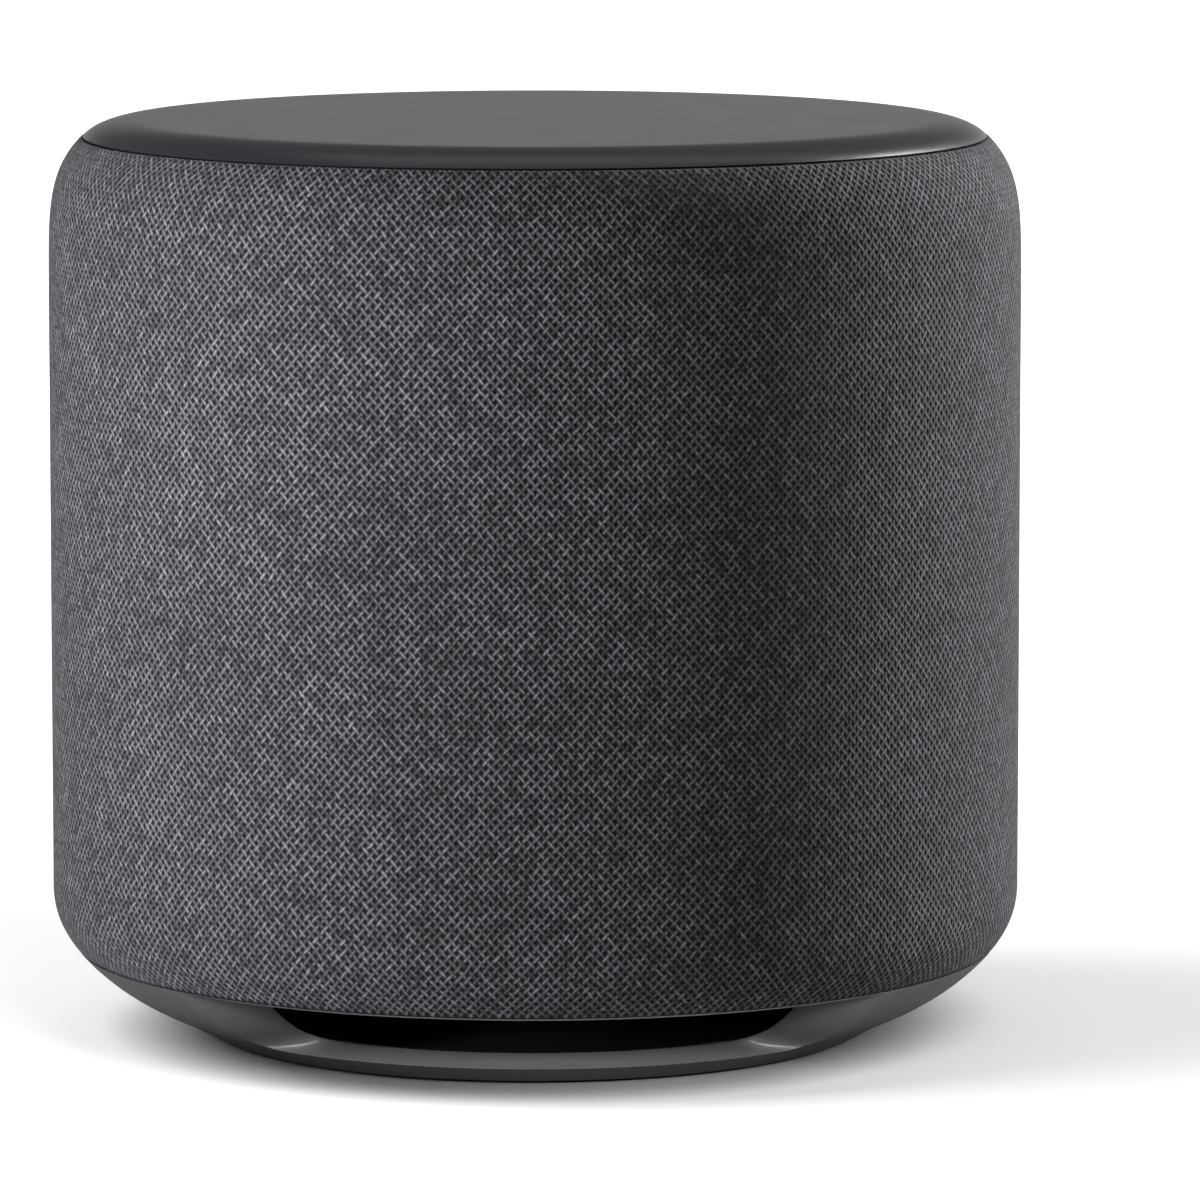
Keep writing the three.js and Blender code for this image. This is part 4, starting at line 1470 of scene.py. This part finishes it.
@dataclass
class Suspension:
    """A thin moulded ring from a fixed edge to a moving one, in equal sectors."""

    name: str
    node: str
    slot: Slot
    section: Callable[[], list[tuple[float, float]]]
    fixed_radius: float
    moving_radius: float
    sectors: int = 12
    steps: int = 14

    def build(self, wardrobe: Wardrobe) -> list[Piece]:
        """Makes the sectors, each one centred on its own middle angle."""
        profile = self.section()
        outline = [*profile, profile[0]]
        width = FULL_TURN / self.sectors
        pieces = []
        for i in range(self.sectors):
            middle = i * width
            angles = np.linspace(middle - width / 2, middle + width / 2, self.steps + 1)
            shell = Shell().patch(turned_grid(outline, angles)).close_ends(len(outline), self.steps + 1)
            piece = shell.object(f"{self.name}_{i + 1}", sharp=60.0)
            wardrobe.dress(piece, self.slot)
            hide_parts(self.node)
            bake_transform(piece)
            pieces.append(piece)
        log.info("%s: %d sectors, %s", self.name, self.sectors, self.slot.value)
        return pieces


@dataclass
class Woofer:
    """The down-firing driver's moving and flexing pieces."""

    flange: float = 22.4
    roll_middle: float = 61.5
    roll_radius: float = 6.0
    roll_thickness: float = 1.1
    sides: int = 144

    def surround_section(self) -> list[tuple[float, float]]:
        """The rubber half roll with its two landings."""
        level = self.flange - 0.3
        low = level - self.roll_thickness
        turn = np.linspace(0, math.pi, 15)
        middle, radius = self.roll_middle, self.roll_radius
        outer = [(middle - radius * math.cos(a), low - radius * math.sin(a)) for a in turn]
        inside = radius - self.roll_thickness
        inner = [(middle + inside * math.cos(a), low - inside * math.sin(a) + 0.05) for a in turn]
        left = [(51.8, level), (51.8, low)]
        right = [(72.4, low), (72.4, level), (middle + inside + 0.3, level)]
        return [*left, *outer, *right, *inner, (middle - inside - 0.3, level)]

    def spider_section(self) -> list[tuple[float, float]]:
        """The corrugated cloth ring."""
        radii = np.linspace(22.5, 44.0, 49)
        waves = [(r, 25.8 + 1.1 * math.sin((r - 22.5) * FULL_TURN / 7.0)) for r in radii]
        under = [(21.0, 25.8), *waves, (47.4, 26.8)]
        over = [(r, z + 0.7) for r, z in reversed(under)]
        return [(r, z + self.flange) for r, z in [*under, *over]]

    def build(self, wardrobe: Wardrobe) -> list[Piece]:
        """Makes the cone, the cap, the surround and the spider."""
        along = np.linspace(0.06, 1, 24)
        ridge = [(51.5 - 15.5 * t, 8 * t + 0.25 * math.sin(t * 5 * math.pi) ** 2) for t in along]
        front = [(55.2, 0.0), (51.5, 0.0), *ridge, (21, 17.6), (19.9, 17.6), (19.9, 21.6), (20.9, 21.6)]
        back = [(20.9, 19.3), (36.6, 9.2), (52, 1.2), (55.2, 1.2)]
        cone = turned("cone", [(r, z + self.flange) for r, z in [*front, *back]], self.sides, sharp=50.0)
        finished(cone, wardrobe, Slot.CONE, Body.CONE, ["woofer_cone"])
        shares = np.linspace(0, 1, 15)
        under = [(24.3 * t, self.flange + 8.6 + 5.9 * t * t) for t in shares]
        over = [(24.3 * t, self.flange + 9.4 + 5.8 * t * t) for t in reversed(shares)]
        cap = turned("cap", [*under, *over], self.sides, sharp=60.0)
        finished(cap, wardrobe, Slot.CONE, Body.CONE, ["dust_cap"])
        surround = Suspension("surround", "woofer_surround", Slot.RUBBER, self.surround_section, 64.8, 56.4)
        spider = Suspension("spider_sector", "spider", Slot.TREATED_CLOTH, self.spider_section, 42.5, 25.5)
        return [cone, cap, *surround.build(wardrobe), *spider.build(wardrobe)]


@dataclass
class RearPanel:
    """The recessed connection panel with its inlet, button, light and screws."""

    width: float = 60.0
    height: float = 50.0
    corner: float = 11.0
    level: float = 60.0
    face: float = 99.4
    thickness: float = 3.2
    rim: float = 3.0
    inlet: float = -11.0
    button: float = 8.0
    light: float = 17.0
    screw_spread: float = 20.0
    screw_head: float = 2.9

    @staticmethod
    def drill(name: str, radius: float, sides: int, at: tuple[float, float]) -> Piece:
        """A round tool that runs right through the panel."""
        start, end = HOLE_ENDS
        return lathe_along_y(name, [(0, start), (radius, start), (radius, end), (0, end)], sides, at)

    def panel(self, wardrobe: Wardrobe) -> Piece:
        """Makes the panel: a frame flush with the drum round a sunken face."""
        whole = rounded_rectangle(self.width, self.height, self.corner)
        blank = extruded("panel", whole, self.face - self.thickness, 112, (0, self.level))
        drum_radius = radius_of("rear_panel")
        low, high = DRUM_LEVELS
        drum = turned("drum", [(0, low), (drum_radius, low), (drum_radius, high), (0, high)], 360)
        combined(blank, [drum], "INTERSECT")
        rims = 2 * self.rim
        within = rounded_rectangle(self.width - rims, self.height - rims, self.corner - self.rim)
        mouth = rounded_rectangle(19.4, 12.4, 3.2)
        tools = [
            extruded("pocket", within, self.face, 120, (0, self.level)),
            extruded("inlet_hole", mouth, *HOLE_ENDS, (0, self.level + self.inlet)),
            self.drill("button_hole", 4.9, 64, (0, self.level + self.button)),
            self.drill("light_hole", 1.6, 32, (0, self.level + self.light)),
        ]
        for side in (-1, 1):
            at = (side * self.screw_spread, self.level + self.inlet)
            tools.append(self.drill("screw_hole", 1.9, 32, at))
        combined(blank, tools, "DIFFERENCE")
        softened(blank, 0.35, segments=3, sharp=40.0)
        return finished(blank, wardrobe, Slot.INNER, Body.SHELL, ["rear_panel"])

    def inlet_pieces(self, wardrobe: Wardrobe) -> list[Piece]:
        """Makes the two-pole inlet and its pins."""
        level = self.level + self.inlet
        body = extruded("inlet", rounded_rectangle(18.8, 11.8, 2.9), 83, 100.4, (0, level))
        flange = extruded("inlet_flange", rounded_rectangle(23.6, 16.6, 4), 93.4, 95.9, (0, level))
        combined(body, [flange], "UNION")
        angles = np.linspace(-math.pi + 0.8, math.pi - 0.8, 33)
        right = np.stack([4.3 + 4.3 * np.cos(angles), 4.3 * np.sin(angles)], axis=-1)
        left = -right
        socket = extruded("socket", np.concatenate([right, left]), 86.4, 104, (0, level), sharp=50.0)
        combined(body, [socket], "DIFFERENCE")
        softened(body, 0.3, segments=2, sharp=40.0)
        pieces = [finished(body, wardrobe, Slot.INNER, Body.SHELL, ["inlet_housing"])]
        for side, word in ((-1, "left"), (1, "right")):
            tip = [(0, 79.4), (1.2, 79.4), (1.2, 96.9), (1.05, 97.5), (0.6, 97.9), (0, 98)]
            pin = lathe_along_y(f"pin_{word}", tip, 32, (side * 4.3, level), sharp=50.0)
            pieces.append(finished(pin, wardrobe, Slot.BRASS, Body.SHELL, [f"inlet_pin_{word}"]))
        return pieces

    def controls(self, wardrobe: Wardrobe) -> list[Piece]:
        """Makes the button, with a dished cap, and the light's window."""
        f = self.face
        cap = [(0, 91.6), (2.2, 91.6), (2.2, f - 6.4), (5.6, f - 6.4), (5.6, f - 4.6), (3.4, f - 4.6)]
        cap += [(3.4, f - 2.6), (4.5, f - 2.6), (4.5, f + 0.6), (4.38, f + 0.82), (4.1, f + 0.9)]
        cap += [(3.4, f + 0.86), (1.8, f + 0.6), (0, f + 0.52)]
        button = lathe_along_y("button", cap, 64, (0, self.level + self.button), sharp=50.0)
        finished(button, wardrobe, Slot.BASE, Body.BUTTON, ["action_button"])
        lens = [(0, 87.6), (1.3, 87.6), (1.3, f - 5.6), (2.4, f - 5.6), (2.4, f - 3.5), (1.3, f - 3.5)]
        lens += [(1.3, f), (1.15, f + 0.15), (0.7, f + 0.2), (0, f + 0.2)]
        light = lathe_along_y("light_window", lens, 32, (0, self.level + self.light), sharp=50.0)
        finished(light, wardrobe, Slot.CLEAR, Body.SHELL, ["light_pipe"])
        return [button, light]

    def screws(self, wardrobe: Wardrobe) -> list[Piece]:
        """Makes the two screws, with a cross in each head."""
        pieces = []
        top = self.face + 2.1
        r = self.screw_head
        for side, number in ((-1, 1), (1, 2)):
            at = (side * self.screw_spread, self.level + self.inlet)
            dome = [(r * math.cos(a), top - 1.0 + math.sin(a)) for a in np.linspace(0, math.pi / 2, 9)[:-1]]
            shank = [(0, top - 10.6), (1.5, top - 9.3), (1.5, top - 1.8), (r, top - 1.8)]
            head = lathe_along_y(f"panel_screw_head_{number}", [*shank, *dome, (0, top)], 48, at, sharp=50.0)
            turn = Matrix.Rotation(0.4 * side + 0.3, 2)
            slots = []
            for long, wide in ((3.4, 0.75), (0.75, 3.4)):
                outline = np.array([turn @ Vector(p) for p in rounded_rectangle(long, wide, 0.2, 2)])
                slots.append(extruded("slot", outline, top - 1.2, top + 1, at))
            combined(head, slots, "DIFFERENCE")
            head.data.shade_smooth()
            head.data.set_sharp_from_angle(angle=math.radians(40))
            pieces.append(finished(head, wardrobe, Slot.DARK_STEEL, Body.SHELL, [f"panel_screw_{number}"]))
        return pieces

    def build(self, wardrobe: Wardrobe) -> list[Piece]:
        """Makes the panel and all on it."""
        panel = self.panel(wardrobe)
        return [panel, *self.inlet_pieces(wardrobe), *self.controls(wardrobe), *self.screws(wardrobe)]


@dataclass
class DampingFoam:
    """The soft wall of open-cell foam inside the drum."""

    inner: float = 88.0
    outer: float = 98.9
    opening: float = 0.72
    sides: int = 120
    swell: float = 0.5

    def build(self, wardrobe: Wardrobe) -> Piece:
        """Makes the foam as a crowned strip with round edges."""
        low, high = foot_of("damping_foam"), top_of("damping_foam")
        square = [(self.inner, low), (self.outer, low), (self.outer, high), (self.inner, high)]
        profile = rounded(square, {i: 2.5 for i in range(4)}, 5)
        outline = [*profile, profile[0]]
        start = self.opening + math.pi
        angles = np.linspace(start, start + FULL_TURN - 2 * self.opening, self.sides + 1)
        grid = turned_grid(outline, angles)
        faces_in = np.array(outline)[:, 0] < self.inner + 1
        ripple = self.swell * np.sin(angles * 24)[None, :] * faces_in[:, None]
        radial = grid[..., :2] / np.linalg.norm(grid[..., :2], axis=-1, keepdims=True)
        grid[..., :2] += radial * (ripple[..., None] + 0.2)
        piece = Shell().patch(grid).close_ends(len(outline), self.sides + 1).object("foam_wall", sharp=60.0)
        finished(piece, wardrobe, Slot.FOAM, Body.SHELL, ["damping_foam"])
        return piece


# ---------------------------------------------------------------------------------------------------
# The studio
# ---------------------------------------------------------------------------------------------------


class Lights(Enum):
    """What a lamp's light falls on; everything still casts shadows in it, as flags would arrange."""

    ALL = "everything"
    PRODUCT = "the product"
    UPPER = "the product apart from its base"
    BASE = "the base"
    FLOOR = "the floor"


@dataclass(frozen=True)
class SoftBox:
    """A rectangular lamp that looks at a point."""

    name: str
    place: tuple[float, float, float]
    aim: tuple[float, float, float]
    size: tuple[float, float]
    watts: float
    lights: Lights

    def build(self, receivers: Sequence[Piece]) -> Piece:
        """Makes the lamp.

        Args:
            receivers: The pieces that it lights, or none if it lights everything.

        Returns:
            The lamp.
        """
        lamp = bpy.data.lights.new(self.name, "AREA")
        lamp.shape = "RECTANGLE"
        lamp.size, lamp.size_y = self.size
        lamp.energy = self.watts
        made = bpy.data.objects.new(self.name, lamp)
        made.location = self.place
        toward = Vector(self.aim) - Vector(self.place)
        made.rotation_euler = toward.to_track_quat("-Z", "Y").to_euler()
        bpy.context.collection.objects.link(made)
        if receivers:
            lit = bpy.data.collections.new(f"lit_by_{self.name}")
            for piece in receivers:
                lit.objects.link(piece)
            made.light_linking.receiver_collection = lit
        return made


@dataclass
class Studio:
    """A pale floor that turns into a lit sweep, soft light and the camera."""

    distance: float = 1.823
    elevation: float = math.radians(7.31)
    target: tuple[float, float, float] = (0.01403, 0.0, 0.09338)
    lens: float = 251.68
    floor_radius: float = 9.0
    sweep_start: float = 0.45
    sweep_end: float = 1.5
    surround: float = 0.14
    band: float = 0.75
    ground: Piece | None = None
    lamps: tuple[SoftBox, ...] = (
        SoftBox("key", (-0.325, -0.24, 0.165), (0, 0, 0.13), (0.12, 0.26), 2.2, Lights.UPPER),
        SoftBox("rim", (1.35, 0.8, 0.75), (0.05, 0, 0.11), (0.6, 1.2), 52.0, Lights.PRODUCT),
        SoftBox("overhead", (0.1, 0.5, 2.4), (0, 0, 0), (2.0, 2.0), 8.0, Lights.ALL),
        SoftBox("sweep", (-1.6, -0.2, 1.7), (0.1, 0, 0), (1.9, 1.9), 70.0, Lights.FLOOR),
        SoftBox("sweep_fill", (1.6, -1.6, 2.0), (0.2, 0, 0), (2.6, 2.6), 102.0, Lights.FLOOR),
        SoftBox("low_front", (0.0, -1.25, 0.5), (0, 0, 0.005), (1.7, 0.25), 64.0, Lights.BASE),
    )

    def camera(self) -> None:
        """Makes the camera and looks through it."""
        data = bpy.data.cameras.new("camera")
        data.lens = self.lens
        data.sensor_width = 36.0
        data.clip_end = 50.0
        made = bpy.data.objects.new("camera", data)
        back = Vector((0, -math.cos(self.elevation), math.sin(self.elevation)))
        made.location = Vector(self.target) + back * self.distance
        made.rotation_euler = (-back).to_track_quat("-Z", "Y").to_euler()
        bpy.context.collection.objects.link(made)
        bpy.context.scene.camera = made

    def floor(self) -> Piece:
        """Makes the floor, a pale disc."""
        radii = np.array([0.0, 0.15, 0.3, 0.6, 1.2, 3.0, self.floor_radius]) / MM
        angles = np.arange(96) * FULL_TURN / 96
        made = Shell().patch(turned_grid([(r, 0.0) for r in radii], angles), closed=True).object("floor")
        material = bpy.data.materials.new("pale_floor")
        material.use_nodes = True
        graph = Graph(material.node_tree)
        shader = graph.tree.nodes["Principled BSDF"]
        paper = graph.noise(graph.place(), 6.0, 3.0)
        seen = graph.node("ShaderNodeLightPath").outputs["Is Camera Ray"]
        pale = graph.mix(paper.outputs["Fac"], (0.91, 0.91, 0.91), (0.93, 0.93, 0.93))
        graph.feed(shader.inputs["Base Color"], graph.mix(seen, (0.35, 0.35, 0.35), pale))
        away = graph.node("ShaderNodeVectorMath", {0: graph.place()}, operation="LENGTH").outputs["Value"]
        glow = graph.times(graph.spread(away, self.sweep_start, self.sweep_end), seen)
        graph.feed(shader.inputs["Emission Strength"], glow)
        shader.inputs["Emission Color"].default_value = (1.0, 1.0, 1.0, 1.0)
        shader.inputs["Roughness"].default_value = 0.9
        shader.inputs["Specular IOR Level"].default_value = 0.1
        made.data.materials.append(material)
        if made.data.polygons[0].normal.z < 0:
            made.data.flip_normals()
        return made

    def sky(self) -> None:
        """Makes the soft white surround, brightest low down behind the product."""
        world = bpy.data.worlds.new("studio")
        bpy.context.scene.world = world
        world.use_nodes = True
        graph = Graph(world.node_tree)
        graph.tree.nodes.clear()
        direction = graph.node("ShaderNodeTexCoord").outputs["Generated"]
        parts = graph.node("ShaderNodeSeparateXYZ", {"Vector": direction})
        back = graph.math("MULTIPLY_ADD", parts.outputs["X"], 0.25, parts.outputs["Y"])
        behind = graph.spread(back, 0.1, 1.0, 0.0, self.band)
        low = graph.times(behind, graph.spread(parts.outputs["Z"], 0.05, 0.26, 1.0, 0.0))
        soft = graph.node("ShaderNodeBackground", {"Strength": graph.plus(low, self.surround)})
        soft.inputs["Color"].default_value = (1.0, 1.0, 1.0, 1.0)
        plain = graph.node("ShaderNodeBackground", {"Strength": 1.0})
        plain.inputs["Color"].default_value = (1.0, 1.0, 1.0, 1.0)
        seen = graph.node("ShaderNodeLightPath").outputs["Is Camera Ray"]
        both = graph.node("ShaderNodeMixShader")
        graph.feed(both.inputs[0], seen)
        graph.feed(both.inputs[1], soft.outputs[0])
        graph.feed(both.inputs[2], plain.outputs[0])
        output = graph.node("ShaderNodeOutputWorld")
        graph.feed(output.inputs["Surface"], both.outputs[0])

    def light(self, base: Piece) -> None:
        """Makes the lamps, once every piece is there.

        Args:
            base: The base's bowl.
        """
        product = [piece for piece in bpy.data.objects if piece.type == "MESH" and piece != self.ground]
        upper = [piece for piece in product if piece != base]
        receivers = {
            Lights.ALL: [],
            Lights.PRODUCT: product,
            Lights.UPPER: upper,
            Lights.BASE: [base],
            Lights.FLOOR: [self.ground],
        }
        for lamp in self.lamps:
            lamp.build(receivers[lamp.lights])

    def build(self) -> None:
        """Makes the floor, the surround and the camera."""
        self.camera()
        self.ground = self.floor()
        self.sky()
        bpy.context.scene.view_settings.view_transform = "Standard"
        bpy.context.scene.view_settings.look = "None"


def main() -> None:
    """Builds the studio and every piece."""
    logging.basicConfig(level=logging.INFO, format="%(name)s: %(message)s")
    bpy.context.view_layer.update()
    studio = Studio()
    studio.build()
    wardrobe = Wardrobe()
    wardrobe.dress_frame()
    Lid().build(wardrobe)
    Sleeve().build(wardrobe)
    base = Cowl().build(wardrobe)
    Underside().build(wardrobe)
    Woofer().build(wardrobe)
    RearPanel().build(wardrobe)
    DampingFoam().build(wardrobe)
    studio.light(base)


if __name__ == "__main__":
    main()
